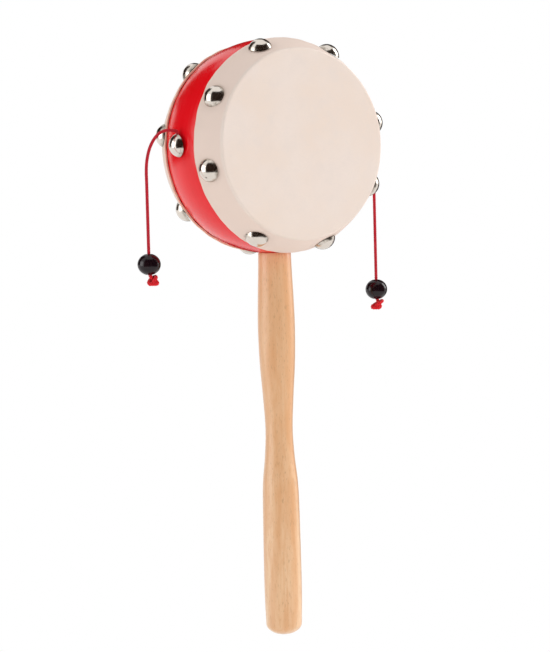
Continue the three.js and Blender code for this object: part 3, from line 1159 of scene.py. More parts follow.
@dataclass(frozen=True)
class Braid:
    """A round braid of strands that go over one and under one along a path."""

    cord_radius: float = 0.8
    strand_radius: float = 0.29
    strands: int = 8
    pitch: float = 4.0
    step: float = 0.19
    strand_sides: int = 8
    core_share: float = 0.5
    swing_share: float = 0.42
    line_spacing: float = 0.2

    def tool(self) -> GeometryTool:
        """Builds the Geometry Nodes tree that braids along a line with an "along" attribute.

        Returns:
            The tree.
        """
        tool = GeometryTool("braid")
        radius = tool.input("Cord Radius")
        strand = tool.input("Strand Radius")
        count = tool.input("Strands", SocketKind.COUNT)
        pitch = tool.input("Pitch")
        step = tool.input("Step")
        line = tool.add("GeometryNodeMeshToCurve", sockets={"Mesh": tool.geometry})
        line = tool.add("GeometryNodeResampleCurve", {"mode": "LENGTH"}, {"Curve": line, "Length": step})
        copies = tool.add(
            "GeometryNodeDuplicateElements", {"domain": "SPLINE"}, {"Geometry": line, "Amount": count}
        )
        index = copies.other("Duplicate Index")
        along = tool.named("along")
        hand = 1 - 2 * (index > count / 2 - 0.5)
        phase = along * TURN / pitch
        angle = hand * phase + index * (2 * TURN) / count
        swing = strand * self.swing_share
        reach = radius - strand - swing + hand * swing * (phase * count / 2).cosine()
        normal = tool.add("GeometryNodeInputNormal")
        tangent = tool.add("GeometryNodeInputTangent")
        side = tangent.maths("CROSS_PRODUCT", tangent, normal)
        offset = normal * (angle.cosine() * reach) + side * (angle.sine() * reach)
        paths = tool.add("GeometryNodeSetPosition", sockets={"Geometry": copies, "Offset": offset})
        paths = tool.stored(paths, "lay", along)
        paths = tool.stored(paths, "strand", index / count)
        ring = self._section(tool, strand)
        core = self._section(tool, radius * self.core_share)
        strands = self._swept(tool, paths, ring)
        filling = self._swept(tool, line, core)
        return tool.close(tool.add("GeometryNodeJoinGeometry", sockets={0: [strands, filling]}))

    def _section(self, tool: GeometryTool, radius: Wire) -> Wire:
        """Adds a strand's round section, whose points know their place round it.

        Args:
            tool: the braid's tree.
            radius: the section's radius.

        Returns:
            The section.
        """
        sockets = {"Resolution": self.strand_sides, "Radius": radius}
        ring = tool.add("GeometryNodeCurvePrimitiveCircle", {"mode": "RADIUS"}, sockets, "Curve")
        place = tool.add("GeometryNodeSplineParameter", output="Factor") * TURN
        return tool.stored(ring, "round", tool.vector(place.sine(), place.cosine(), 0), "FLOAT_VECTOR")

    @staticmethod
    def _swept(tool: GeometryTool, path: Wire, section: Wire) -> Wire:
        """The section drawn along the path, with closed ends."""
        sockets = {"Curve": path, "Profile Curve": section, "Fill Caps": True}
        return tool.add("GeometryNodeCurveToMesh", sockets=sockets)

    def along(
        self, tool: GeometryTool, name: str, points: Sequence[Vector], cord: bpy.types.Material
    ) -> bpy.types.Object:
        """Braids one stretch.

        Args:
            tool: the tree from tool().
            name: the new piece's name.
            points: a line in the frame, in metres, that the centreline follows.
            cord: its material.

        Returns:
            The piece.
        """
        line = evenly_spaced(points, self.line_spacing * MM)
        mesh = bpy.data.meshes.new(name)
        mesh.from_pydata([tuple(p) for p in line], [(i, i + 1) for i in range(len(line) - 1)], [])
        lengths = [polyline_length(line[: i + 1]) for i in range(len(line))]
        mesh.attributes.new("along", "FLOAT", "POINT").data.foreach_set("value", lengths)
        values = {
            "Material": cord,
            "Cord Radius": self.cord_radius * MM,
            "Strand Radius": self.strand_radius * MM,
            "Strands": self.strands,
            "Pitch": self.pitch * MM,
            "Step": self.step * MM,
        }
        return tool.run(name, mesh, values)


@dataclass(frozen=True)
class OverhandKnot:
    """An overhand knot: a loose one that is drawn tight until the cord lies against itself.

    Each round smooths the line, pulls its ends to their places, and parts what lies too near.
    """

    spacing: float = 1.8
    reach: float = 3.0
    points: int = 110
    rounds: int = 700
    looseness: float = 1.1
    loop_rise: float = 1.2
    tail_length: float = 1.6
    span: float = 2.12
    flatness: float = 0.2
    smoothing: float = 0.12
    pull: float = 0.05
    parting: float = 0.25
    parting_passes: int = 3
    own_reach: float = 1.45

    def centreline(self) -> list[Vector]:
        """Ties the knot.

        Returns:
            The cord's centreline in millimetres about the knot's middle, from its top to its tail.
        """
        t = np.linspace(self.span, -self.span, self.points)
        loose = [t**3 - 3 * t, t**4 - 4 * t**2 + self.loop_rise, self.flatness * (t**5 - 10 * t)]
        line = np.stack(loose, axis=1) * self.spacing * self.looseness
        ends = np.array([[0, 0, self.reach], [0, 0, -self.reach]])
        first, second = np.triu_indices(self.points, k=1)
        for _ in range(self.rounds):
            line[1:-1] += self.smoothing * (line[:-2] + line[2:] - 2 * line[1:-1])
            line[[0, -1]] += (ends - line[[0, -1]]) * self.pull
            self._part(line, first, second)
            line = np.array([tuple(p) for p in self._respaced(line)])
        low = ends[1][2] + self.tail_length
        return [Vector(p) for p in line if p[2] > low]

    def _respaced(self, line: np.ndarray) -> list[Vector]:
        """Spreads the line's points evenly along it again."""
        length = np.linalg.norm(np.diff(line, axis=0), axis=1).sum()
        return evenly_spaced([Vector(p) for p in line], length / (self.points - 1))

    def _part(self, line: np.ndarray, first: np.ndarray, second: np.ndarray) -> None:
        """Pushes apart what lies nearer than the spacing, unless it is near along the cord too.

        Args:
            line: the centreline, changed in place.
            first: the index of one point of each pair.
            second: the index of the other.
        """
        step = np.linalg.norm(np.diff(line, axis=0), axis=1).mean()
        apart = second - first > math.ceil(self.own_reach * self.spacing / step)
        for _ in range(self.parting_passes):
            gap = line[first] - line[second]
            distance = np.linalg.norm(gap, axis=1)
            close = apart & (distance < self.spacing)
            push = (self.spacing - distance[close]) / np.maximum(distance[close], 1e-6) * self.parting
            np.add.at(line, first[close], gap[close] * push[:, None])
            np.add.at(line, second[close], -gap[close] * push[:, None])


@dataclass(frozen=True)
class Striker:
    """A corded bead: the cord from under its tack to its knot, and the bead that rests on the knot.

    The routes lie in the plane of the handle's axis, as sideways and upwards places.
    """

    side: Side
    tack_angle: float
    route: tuple[Point, ...]
    fold: Point
    bead_height: float
    knot_shift: float
    knot_turn: float
    bead_radius: float = 5.2
    bead_half_height: float = 4.8
    bead_segments: int = 72
    bead_steps: int = 44
    bore_radius: float = 1.15
    bore_rounding: float = 0.35
    lip_steps: int = 5
    gap: float = 0.3
    knot_half_height: float = 2.3
    knot_shift_end: float = -1.0
    pinned_thickness: float = 0.9
    pinned_drop: float = 1.9
    pinned_bend: Point = (0.6, 0.9)
    pinned_steps: int = 8
    shank_radius: float = 0.75
    bend_reach: float = 6.0
    path_spacing: float = 2.6
    curve_steps: int = 12
    straight_steps: int = 10

    @property
    def knot_top(self) -> float:
        """The height of the knot's top."""
        return self.bead_height - self.bead_half_height - self.gap

    def centreline(self) -> list[Vector]:
        """Leads the cord from its tack over the hump and straight down to its knot.

        Returns:
            The centreline in the frame.
        """
        x, top = self.fold
        foot, steps = self.knot_top + self.gap, self.straight_steps
        straight = [(x, lerp(top, foot, i / steps)) for i in range(1, steps + 1)]
        flat = catmull_rom([*self.route, self.fold, *straight], self.curve_steps)
        return [in_frame(Vector((p.x, 0, p.y))) for p in flat]

    def cord(self, braid: Braid, tool: GeometryTool, dye: bpy.types.Material) -> bpy.types.Object:
        """Braids the free cord along its centreline, which turns down at the fold.

        Args:
            braid: the braid's sizes.
            tool: its tree.
            dye: the cord's material.

        Returns:
            The cord.
        """
        word = self.side.value
        piece = braid.along(tool, f"{word}_cord", self.centreline(), dye)
        x, height = self.fold
        start = in_frame(Vector((x, 0, height + self.bend_reach)))
        end = in_frame(Vector((x, 0, height - self.bend_reach)))
        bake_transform(piece)
        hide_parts(f"{word}_cord_upper", f"{word}_cord_lower")
        LOG.info("%s bends from %s_hump to %s_drop", piece.name, word, word)
        return piece

    def declare_cord(
        self, piece: bpy.types.Object, braid: Braid, with_pieces: list[bpy.types.Object]
    ) -> None:
        """Spaces points evenly along the free cord's centreline and keeps none of them.

        Args:
            piece: not used.
            braid: not used.
            with_pieces: not used.
        """
        path = evenly_spaced(self.centreline(), self.path_spacing * MM)

    def pinned_end(self, braid: Braid, tool: GeometryTool, dye: bpy.types.Material) -> bpy.types.Object:
        """Makes the end of the cord that is squeezed flat between its tack and the shell.

        Args:
            braid: the braid's sizes.
            tool: its tree.
            dye: the cord's material.

        Returns:
            The pinned end.
        """
        word = self.side.value
        x, top = self.route[0]
        low = top - self.pinned_drop
        shank = BARREL.belly_radius * math.sin(math.radians(self.tack_angle))
        bottom = shank + self.shank_radius + 2 * self.gap
        wall = math.sqrt(BARREL.belly_radius**2 - bottom**2)
        pressed = self.side.sign * (wall + self.gap + self.pinned_thickness / 2)
        share, drop = self.pinned_bend
        halfway = (lerp(x, pressed, share), 0, top - drop)
        turns = [(x, 0, top), halfway, (pressed, 0, low), (pressed, 0, bottom)]
        line = [in_frame(p) for p in catmull_rom(turns, self.pinned_steps)]
        piece = braid.along(tool, f"{word}_cord_pinned", line, dye)
        for vertex in piece.data.vertices:
            below = smoothstep(top, low, (vertex.co.z - DRUM_CENTRE.z) / MM)
            centre = lerp(x, pressed, below) * MM
            squeeze = lerp(1.0, self.pinned_thickness / (2 * braid.cord_radius), below)
            vertex.co.x = centre + (vertex.co.x - centre) * squeeze
            vertex.co.y /= squeeze
        return attach(piece, "drum", Slot.RED_CORD, f"{word}_cord_pinned_end")

    def knot(
        self, line: list[Vector], braid: Braid, tool: GeometryTool, dye: bpy.types.Material
    ) -> bpy.types.Object:
        """Makes the knot below the bead.

        Args:
            line: an overhand knot's centreline.
            braid: the braid's sizes.
            tool: its tree.
            dye: the cord's material.

        Returns:
            The knot.
        """
        word = self.side.value
        turn = Matrix.Rotation(math.radians(self.knot_turn), 3, "Z")
        middle = Vector((self.fold[0], 0, self.knot_top - self.knot_half_height))
        placed = []
        for point in line:
            drift = smoothstep(self.knot_half_height, self.knot_shift_end, point.z) * self.knot_shift
            placed.append(in_frame(middle + turn @ point + Vector((drift, 0, 0))))
        top = in_frame(Vector((0, 0, self.knot_top + self.gap))).z
        piece = braid.along(tool, f"{word}_knot_tied", [p for p in placed if p.z < top], dye)
        return attach(piece, f"{word}_drop", Slot.RED_CORD, f"{word}_knot")

    def bead(self, lacquer: bpy.types.Material) -> bpy.types.Object:
        """Turns the bead, with a bore whose lips are rounded.

        Args:
            lacquer: its material.

        Returns:
            The bead.
        """
        word = self.side.value
        lip = self.bore_radius + self.bore_rounding
        start = math.asin(lip / self.bead_radius)
        sweep = [lerp(start, math.pi - start, i / self.bead_steps) for i in range(self.bead_steps + 1)]
        outer = [(self.bead_radius * math.sin(a), self.bead_half_height * math.cos(a)) for a in sweep]
        height = outer[0][1]
        shares = [i / self.lip_steps for i in range(1, self.lip_steps + 1)]
        upper = [self._lip(height, share, 1) for share in reversed(shares)]
        lower = [self._lip(height, share, -1) for share in shares]
        rings = [circle(radius, z, self.bead_segments) for radius, z in [*upper, *outer, *lower]]
        centre = Vector((self.fold[0], 0, self.bead_height))
        mesh = surface_of_rings(f"{word}_bead_turned", [[centre + p for p in ring] for ring in rings])
        mesh.materials.append(lacquer)
        piece = new_object(f"{word}_bead_turned", mesh)
        return attach(piece, f"{word}_striker", Slot.BLACK_LACQUER, f"{word}_bead")

    def _lip(self, height: float, share: float, end: int) -> Point:
        """Finds a point of the bore's rounded lip.

        Args:
            height: how high the bead's face ends over its middle.
            share: how far the point is from the face towards the bore's wall.
            end: 1 for the upper lip, -1 for the lower one.

        Returns:
            Its radius and height.
        """
        angle = share * math.pi / 2
        radius = self.bore_radius + self.bore_rounding * (1 - math.sin(angle))
        return radius, end * (height - self.bore_rounding * (1 - math.cos(angle)))


STRIKERS = (
    Striker(
        side=Side.LEFT,
        tack_angle=179.4,
        route=((-50.5, 7.1), (-53.1, 7.3), (-56.2, 7.3), (-59.4, 6.1), (-62.4, 3.3), (-64.8, -0.9),
               (-66.2, -5.8), (-66.7, -10.6)),
        fold=(-66.7, -15.5),
        bead_height=-52.1,
        knot_shift=0.9,
        knot_turn=35.0,
    ),
    Striker(
        side=Side.RIGHT,
        tack_angle=-10,
        route=((50.6, -1.7), (52.7, -1.0), (54.9, -1.5), (56.6, -3.9), (57.3, -7.6), (57.6, -12.2),
               (57.8, -17.6), (57.8, -23.6)),
        fold=(57.8, -28.9),
        bead_height=-68.5,
        knot_shift=-0.8,
        knot_turn=10.0,
    ),
)


@dataclass(frozen=True)
class Tacks:
    """The dome tacks: a ring of eight through each skirt, and one on each cord."""

    dome_radius: float = 5.3
    dome_height: float = 3.5
    sheet: float = 0.5
    lip_insets: Point = (0.06, 0.08)
    shank_radius: float = 0.75
    shank_clearance: float = 1.2
    shank_length: float = 6.5
    point_length: float = 2.2
    front_offset: float = 18.0
    rear_offset: float = 20.0
    lift: float = 1.05
    cord_tilt: float = 8.0
    seat_gap: float = 0.3
    hole_radius: float = 1.0
    hole_depth: float = 8.6
    front_angles: tuple[float, ...] = (111, 63.8, 13, -24, -70.3, -117, -166.2, 152.7)
    rear_angles: tuple[float, ...] = (130.5, 172.5, 219, 268.5, 306, 342, 30, 80)
    segments: int = 40
    dome_steps: int = 16
    rim_height: float = 1.2
    rim_start: float = 0.80
    lean: float = 1.6
    lean_seed: int = 4
    awl_sides: int = 16
    awl_start: float = 3.0

    def ring_angles(self, facing: Facing) -> tuple[float, ...]:
        """The angles of the ring in one head's skirt."""
        return self.front_angles if facing is Facing.FRONT else self.rear_angles

    def ring_offset(self, facing: Facing) -> float:
        """How far one head's ring is from the middle of the shell."""
        return self.front_offset if facing is Facing.FRONT else self.rear_offset

    def ring_seats(self, facing: Facing) -> list[Seat]:
        """The places and outward directions of one head's tacks."""
        depth = facing.value * self.ring_offset(facing)
        return [BARREL.seat(angle, depth, self.lift) for angle in self.ring_angles(facing)]

    def cord_seats(self) -> list[Seat]:
        """The places and outward directions of the two tacks that pin the cords."""
        lift = self.seat_gap + self.dome_radius * math.sin(math.radians(self.cord_tilt))
        return [BARREL.seat(s.tack_angle, 0.0, lift, self.cord_tilt * s.side.sign) for s in STRIKERS]

    def all_seats(self) -> list[Seat]:
        """Every tack's place and outward direction."""
        return [*self.ring_seats(Facing.FRONT), *self.ring_seats(Facing.REAR), *self.cord_seats()]

    def nodes(self) -> list[str]:
        """The CAD nodes of all the tacks."""
        rings = [f"{f.word}_tack_{i + 1}" for f in Facing for i in range(len(self.ring_angles(f)))]
        return [*rings, *(f"{s.side.value}_cord_tack" for s in STRIKERS)]

    @staticmethod
    def seat_points(name: str, seats: Sequence[Seat]) -> bpy.types.Mesh:
        """Marks the seats with loose points that know their outward direction.

        Args:
            name: the mesh's name.
            seats: the places and outward directions.

        Returns:
            The mesh of points.
        """
        mesh = bpy.data.meshes.new(name)
        mesh.from_pydata([tuple(in_frame(point)) for point, _ in seats], [], [])
        outward = mesh.attributes.new("outward", "FLOAT_VECTOR", "POINT")
        outward.data.foreach_set("vector", [x for _, direction in seats for x in direction])
        return mesh

    def one_tack(self) -> bpy.types.Mesh:
        """Presses one tack about +Z: a hollow dome with a turned-in rim on a pointed shank.

        Returns:
            The tack's mesh, with how near each point is to the rim.
        """
        inner_radius, inner_height = self.dome_radius - self.sheet, self.dome_height - self.sheet
        outer = self._dome(self.dome_radius, self.dome_height, self.dome_steps)
        inner = self._dome(inner_radius, inner_height, self.dome_steps // 2)
        ceiling = math.sqrt(1 - (self.shank_radius / inner_radius) ** 2)
        under = [p for p in inner if p[0] > self.shank_radius * self.shank_clearance][::-1]
        inner_lip, outer_lip = self.lip_insets
        lip = [(inner_radius + inner_lip, 0.0), (self.dome_radius - outer_lip, 0.0)]
        shank = [
            (0, -self.shank_length),
            (self.shank_radius, self.point_length - self.shank_length),
            (self.shank_radius, inner_height * ceiling),
        ]
        profile = [*shank, *under, *lip, *outer]
        marks = []
        for radius, height in profile:
            near_rim = smoothstep(self.rim_start, 1.0, math.hypot(radius, height) / self.dome_radius)
            marks.append(near_rim if height < self.rim_height else 0.0)
        rings = [circle(radius, height, self.segments) for radius, height in profile]
        mesh = surface_of_rings("one_tack", rings, {"rim": marks})
        mesh.transform(Matrix.Translation(-DRUM_CENTRE))
        return mesh

    @staticmethod
    def _dome(rim_radius: float, height: float, steps: int) -> list[Point]:
        """Draws the arc of a dome.

        Args:
            rim_radius: the dome's radius at its rim.
            height: its height.
            steps: how many steps the arc has.

        Returns:
            The arc from the rim to the top.
        """
        sphere = (rim_radius**2 + height**2) / (2 * height)
        sweep = math.asin(rim_radius / sphere)
        angles = [sweep * (steps - i) / steps for i in range(steps + 1)]
        arc = [(sphere * math.sin(a), height - sphere * (1 - math.cos(a))) for a in angles]
        return [*arc[:-1], (0, height)]

    def driving_tool(self) -> GeometryTool:
        """Builds the tree that drives a tack into each seat, none of them quite true.

        Returns:
            The tree.
        """
        tool = GeometryTool("drive_tacks")
        tack = tool.input("Tack", SocketKind.OBJECT)
        lean = tool.input("Lean")
        seed = tool.input("Seed", SocketKind.COUNT)
        upright = tool.facing(tool.named("outward", "FLOAT_VECTOR"))
        least, most = tool.vector(-1 * lean, -1 * lean, 0), tool.vector(lean, lean, TURN)
        limits = {"Min": least, "Max": most, "Seed": seed}
        chance = tool.add("FunctionNodeRandomValue", {"data_type": "FLOAT_VECTOR"}, limits, "Value")
        by_hand = tool.add("FunctionNodeEulerToRotation", sockets={"Euler": chance})
        turned = {"Rotation": upright, "Rotate By": by_hand}
        rotation = tool.add("FunctionNodeRotateRotation", {"rotation_space": "LOCAL"}, turned)
        shape = tool.object_geometry(tack)
        sockets = {"Points": tool.geometry, "Instance": shape, "Rotation": rotation}
        return tool.close(tool.add("GeometryNodeInstanceOnPoints", sockets=sockets))

    def drive(self, nickel: bpy.types.Material) -> bpy.types.Object:
        """Makes all the tacks as one piece.

        Args:
            nickel: their material.

        Returns:
            The piece.
        """
        pattern = new_object("one_tack", self.one_tack())
        values = {
            "Material": nickel,
            "Tack": pattern,
            "Lean": math.radians(self.lean),
            "Seed": self.lean_seed,
        }
        source = self.seat_points("tack_seats", self.all_seats())
        piece = self.driving_tool().run("dome_tacks", source, values)
        bpy.data.objects.remove(pattern)
        return attach(piece, "drum", Slot.NICKEL, *self.nodes())

    def punching_tool(self) -> GeometryTool:
        """Builds the tree that makes a hole in the geometry at each of another object's points.

        Returns:
            The tree.
        """
        tool = GeometryTool("punch_holes")
        seats = tool.input("Seats", SocketKind.OBJECT)
        radius = tool.input("Hole Radius")
        depth = tool.input("Hole Depth")
        above = self.awl_start * MM
        size = {"Vertices": self.awl_sides, "Radius": radius, "Depth": depth + above}
        awl = tool.add("GeometryNodeMeshCylinder", sockets=size, output="Mesh")
        shift = tool.vector(0, 0, (above - depth) / 2)
        awl = tool.add("GeometryNodeTransform", sockets={"Geometry": awl, "Translation": shift})
        rotation = tool.facing(tool.named("outward", "FLOAT_VECTOR"))
        sockets = {"Points": tool.object_geometry(seats), "Instance": awl, "Rotation": rotation}
        awls = tool.add("GeometryNodeInstanceOnPoints", sockets=sockets)
        awls = tool.add("GeometryNodeRealizeInstances", sockets={"Geometry": awls})
        settings = {"operation": "DIFFERENCE", "solver": "MANIFOLD"}
        cut = {"Mesh 1": tool.geometry, "Mesh 2": awls}
        return tool.close(tool.add("GeometryNodeMeshBoolean", settings, cut, "Mesh"))

    def punched(
        self,
        tool: GeometryTool,
        name: str,
        blank: bpy.types.Mesh,
        seats: Sequence[Seat],
        finish: bpy.types.Material,
    ) -> bpy.types.Object:
        """Makes the shank holes in a blank.

        Args:
            tool: the tree from punching_tool().
            name: the new piece's name.
            blank: the mesh without holes.
            seats: the places of the tacks that go through it.
            finish: its material.

        Returns:
            The piece.
        """
        marker = new_object("seats", self.seat_points("seats", seats))
        values = {
            "Material": finish,
            "Seats": marker,
            "Hole Radius": self.hole_radius * MM,
            "Hole Depth": self.hole_depth * MM,
        }
        piece = tool.run(name, blank, values)
        bpy.data.objects.remove(marker)
        return piece


TACKS = Tacks()


@dataclass(frozen=True)
class Shell:
    """The turned ring between the heads, with the spigot's hole below and its blind socket above."""

    bore_radius: float = 38.6
    rim_chamfer: float = 0.7
    around: int = 256
    along: int = 48
    spigot_hole_radius: float = 6.3
    socket_top: float = 43.8
    drill_foot: float = 60.0
    drill_sides: int = 48

    def tool(self) -> GeometryTool:
        """Builds the tree that turns the ring from the barrel's rule and drills it for the spigot.

        Returns:
            The tree.
        """
        tool = GeometryTool("barrel_ring")
        belly = tool.input("Belly Radius")
        arc = tool.input("Arc Radius")
        rim = tool.input("Rim Radius")
        half = tool.input("Half Depth")
        bore = tool.input("Bore Radius")
        chamfer = tool.input("Rim Chamfer")
        steps = self.along
        sheet = {"Size X": 1.0, "Size Y": 1.0, "Vertices X": self.around + 1, "Vertices Y": 2 * steps + 3}
        grid = tool.add("GeometryNodeMeshGrid", sockets=sheet, output="Mesh")
        u, v, _ = tool.parts(tool.add("GeometryNodeInputPosition"))
        angle = (u + 0.5) * TURN
        count = 2 * steps + 2
        ring = ((v + 0.5) * count + 0.5).floor() % count
        inner = ring > steps + 0.5
        step = ring - inner * (steps + 1)
        depth = (step * (2 / steps) - 1) * half * (1 - 2 * inner)
        bulge = belly - arc + (arc * arc - depth * depth).root()
        outer = bulge.at_most(rim - chamfer + half - depth.size())
        radius = outer + inner * (bore - outer)
        centre = DRUM_CENTRE.z
        place = tool.vector(radius * angle.cosine(), depth, radius * angle.sine() + centre)
        turned = tool.add("GeometryNodeSetPosition", sockets={"Geometry": grid, "Position": place})
        closed = tool.add("GeometryNodeMergeByDistance", sockets={"Geometry": turned, "Distance": 1e-6})
        return tool.close(self._drilled(tool, closed))

    def _drilled(self, tool: GeometryTool, ring: Wire) -> Wire:
        """Drills the spigot's hole from below the ring up into its upper wall.

        Args:
            tool: the shell's tree.
            ring: the turned ring.

        Returns:
            The ring with the hole.
        """
        radius = tool.input("Spigot Hole Radius")
        top = tool.input("Socket Top")
        foot = self.drill_foot * MM
        size = {"Vertices": self.drill_sides, "Radius": radius, "Depth": top + foot}
        drill = tool.add("GeometryNodeMeshCylinder", sockets=size, output="Mesh")
        shift = tool.vector(0, 0, (top - foot) / 2 + DRUM_CENTRE.z)
        drill = tool.add("GeometryNodeTransform", sockets={"Geometry": drill, "Translation": shift})
        settings = {"operation": "DIFFERENCE", "solver": "EXACT"}
        return tool.add("GeometryNodeMeshBoolean", settings, {"Mesh 1": ring, "Mesh 2": drill}, "Mesh")

    def build(self, punch: GeometryTool, paint: bpy.types.Material) -> bpy.types.Object:
        """Makes the shell.

        Args:
            punch: the tree that makes the tack holes.
            paint: its finish.

        Returns:
            The piece.
        """
        values = {
            "Material": paint,
            "Belly Radius": BARREL.belly_radius * MM,
            "Arc Radius": BARREL.arc_radius * MM,
            "Rim Radius": BARREL.rim_radius * MM,
            "Half Depth": BARREL.half_depth * MM,
            "Bore Radius": self.bore_radius * MM,
            "Rim Chamfer": self.rim_chamfer * MM,
            "Spigot Hole Radius": self.spigot_hole_radius * MM,
            "Socket Top": self.socket_top * MM,
        }
        ring = self.tool().run("ring", bpy.data.meshes.new("ring"), values)
        blank = turned_outward(ring.data)
        bpy.data.objects.remove(ring)
        piece = TACKS.punched(punch, "barrel_shell", blank, TACKS.all_seats(), paint)
        turned_outward(piece.data)
        return attach(piece, "drum", Slot.RED_PAINT, "shell")


@dataclass(frozen=True)
class Head:
    """A skin stretched over one end of the shell and lapped down its side as a skirt."""

    facing: Facing
    skirt_edge: float
    seed: int
    # How strongly and how widely the cut edge is tinted; the rear head's stronger, wider tint is painted
    # light on an edge that catches the light.
    cut_warmth: float
    cut_width: float = 1.1
    thickness: float = 0.75
    rounding: float = 1.1
    gap: float = 0.3
    snug_gap: float = 0.07
    segments: int = 288
    face_shares: tuple[float, ...] = (0, 0.3, 0.55, 0.75, 0.88, 0.96, 0.99)
    back_shares: tuple[float, ...] = (1, 0.9, 0.6, 0.3, 0)
    bend_steps: int = 10
    skirt_steps: int = 22
    lining_steps: int = 12
    skirt_stain: float = 0.75
    stain_start: float = 0.2
    edge_width: float = 0.3
    edge_bevel: float = 0.25
    edge_lift: float = 0.03
    inner_edge_stain: float = 0.9
    lining_inset: float = 0.15
    lining_stain: float = 0.5
    lining_stain_width: float = 0.5
    shoulder_inset: float = 0.7
    inner_corner: float = 0.5
    edge_wave: float = 0.28
    edge_wave_counts: tuple[int, ...] = (2, 3, 5, 7, 11, 17)
    edge_wave_strengths: Point = (0.3, 1.0)
    dimple: float = 0.16
    dimple_radius: float = 4.2
    pull_stretch: float = 0.8
    ridge_share: float = 0.8
    ridge_radius: float = 7.4
    ridge_width: float = 2.4
    ripple: float = 0.10
    ripple_counts: tuple[int, ...] = (23, 31, 43)
    ripple_start: float = 2.6
    ripple_seed: int = 100

    @property
    def outside(self) -> float:
        """The depth of the outer face."""
        return BARREL.half_depth + self.gap + self.thickness

    def profile(self) -> list[tuple[float, float, float]]:
        """The section from the middle of the outer face round the skirt to the middle inside.

        Returns:
            For each point its radius, its depth, and how much of the cut edge it shows.
        """
        lift = self.gap + self.thickness
        corner = self.outside - self.rounding
        rim = BARREL.radius(corner) + lift
        face = [(share * (rim - self.rounding), self.outside, 0.0) for share in self.face_shares]
        bend = []
        for i in range(self.bend_steps, -1, -1):
            turn = math.pi / 2 * i / self.bend_steps
            radius = rim - self.rounding * (1 - math.cos(turn))
            bend.append((radius, corner + self.rounding * math.sin(turn), 0.0))
        skirt = []
        for i in range(1, self.skirt_steps + 1):
            depth = lerp(corner, self.skirt_edge + self.edge_width, i / self.skirt_steps)
            # Near the cut edge the skirt takes the edge's tint, partly painted light.
            stained = smoothstep(self.cut_width, self.stain_start, depth - self.skirt_edge)
            skirt.append((BARREL.radius(depth) + lift, depth, stained * self.skirt_stain))
        foot = BARREL.radius(self.skirt_edge)
        # The cut edge's own faces take the full tint, partly painted light.
        edge = [
            (foot + lift - self.edge_bevel, self.skirt_edge, 1.0),
            (foot + self.snug_gap + self.edge_lift, self.skirt_edge, self.inner_edge_stain),
        ]
        shoulder = BARREL.half_depth - self.shoulder_inset
        lining = []
        for i in range(self.lining_steps + 1):
            depth = lerp(self.skirt_edge + self.lining_inset, shoulder, i / self.lining_steps)
            # The lining by the edge takes some of the tint, partly painted light.
            near_edge = depth < self.skirt_edge + self.lining_stain_width
            stain = self.lining_stain if near_edge else 0.0
            lining.append((BARREL.radius(depth) + self.snug_gap, depth, stain))
        inside = BARREL.half_depth + self.gap
        reach = BARREL.rim_radius + self.snug_gap - self.inner_corner
        back = [(share * reach, inside, 0.0) for share in self.back_shares]
        return [*face, *bend, *skirt, *edge, *lining, *back]

    def _edge_drift(self) -> Callable[[float], float]:
        """Draws the waves of the hand-cut edge.

        Returns:
            The rule that tells, from an angle, how far the edge strays along the shell there.
        """
        chance = random.Random(self.seed)
        waves = []
        for count in self.edge_wave_counts:
            phase = chance.uniform(0, TURN)
            waves.append((count, phase, chance.uniform(*self.edge_wave_strengths) / math.sqrt(count)))
        total = sum(w for _, _, w in waves)
        return lambda a: self.edge_wave * sum(w * math.sin(k * a + p) for k, p, w in waves) / total * 2

    def _pull(self, angle: float, depth: float, radius: float) -> float:
        """How far the skin stands in or out round the tacks.

        Args:
            angle: the angle from +X towards +Z.
            depth: the depth of the place.
            radius: its radius.

        Returns:
            The change of the radius.
        """
        change = 0.0
        for tack in TACKS.ring_angles(self.facing):
            across = math.remainder(angle - math.radians(tack), TURN) * radius
            reach = math.hypot(across, (depth - TACKS.ring_offset(self.facing)) * self.pull_stretch)
            change -= self.dimple * math.exp(-((reach / self.dimple_radius) ** 2))
            ridge = math.exp(-(((reach - self.ridge_radius) / self.ridge_width) ** 2))
            change += self.dimple * self.ridge_share * ridge
        return change

    def blank(self) -> bpy.types.Mesh:
        """Shapes the skin, without the tack holes.

        Returns:
            The mesh, with how much of the cut edge's tan, partly painted light, each point shows.
        """
        drift = self._edge_drift()
        chance = random.Random(self.seed + self.ripple_seed)
        folds = [(k, chance.uniform(0, TURN)) for k in self.ripple_counts]
        corner = self.outside - self.rounding
        angles = [TURN * i / self.segments for i in range(self.segments)]
        rings, cuts = [], []
        for radius, depth, cut in self.profile():
            down = smoothstep(corner + self.rounding, self.skirt_edge, depth)
            cuts.append(cut * self.cut_warmth)
            if radius == 0:
                rings.append([Vector((0, depth * self.facing.value, 0))])
                continue
            ring = []
            for angle in angles:
                shift = drift(angle) * down**2
                ripple = self.ripple * down * sum(math.sin(k * angle + p) for k, p in folds) / len(folds)
                side = smoothstep(corner + self.ripple_start, corner, depth)
                reach = radius + (self._pull(angle, depth, radius) + ripple + self.ripple * down) * side
                reach -= self._taper(depth, shift)
                place = (depth + shift) * self.facing.value
                ring.append(Vector((reach * math.cos(angle), place, reach * math.sin(angle))))
            rings.append(ring)
        return surface_of_rings(f"{self.facing.word}_blank", rings, {"cut": cuts})

    @staticmethod
    def _taper(depth: float, shift: float) -> float:
        """How much narrower the shell gets where the skin's edge strays towards the rim."""
        return BARREL.radius(depth) - BARREL.radius(depth + shift)

    def build(self, punch: GeometryTool, hide: bpy.types.Material) -> bpy.types.Object:
        """Makes the head, with its tack holes.

        Args:
            punch: the tree that makes the tack holes.
            hide: its finish.

        Returns:
            The piece.
        """
        word = self.facing.word
        seats = TACKS.ring_seats(self.facing)
        piece = TACKS.punched(punch, f"{word}_skin", self.blank(), seats, hide)
        turned_outward(piece.data)
        return attach(piece, "drum", Slot.DRUM_SKIN, f"{word}_head")


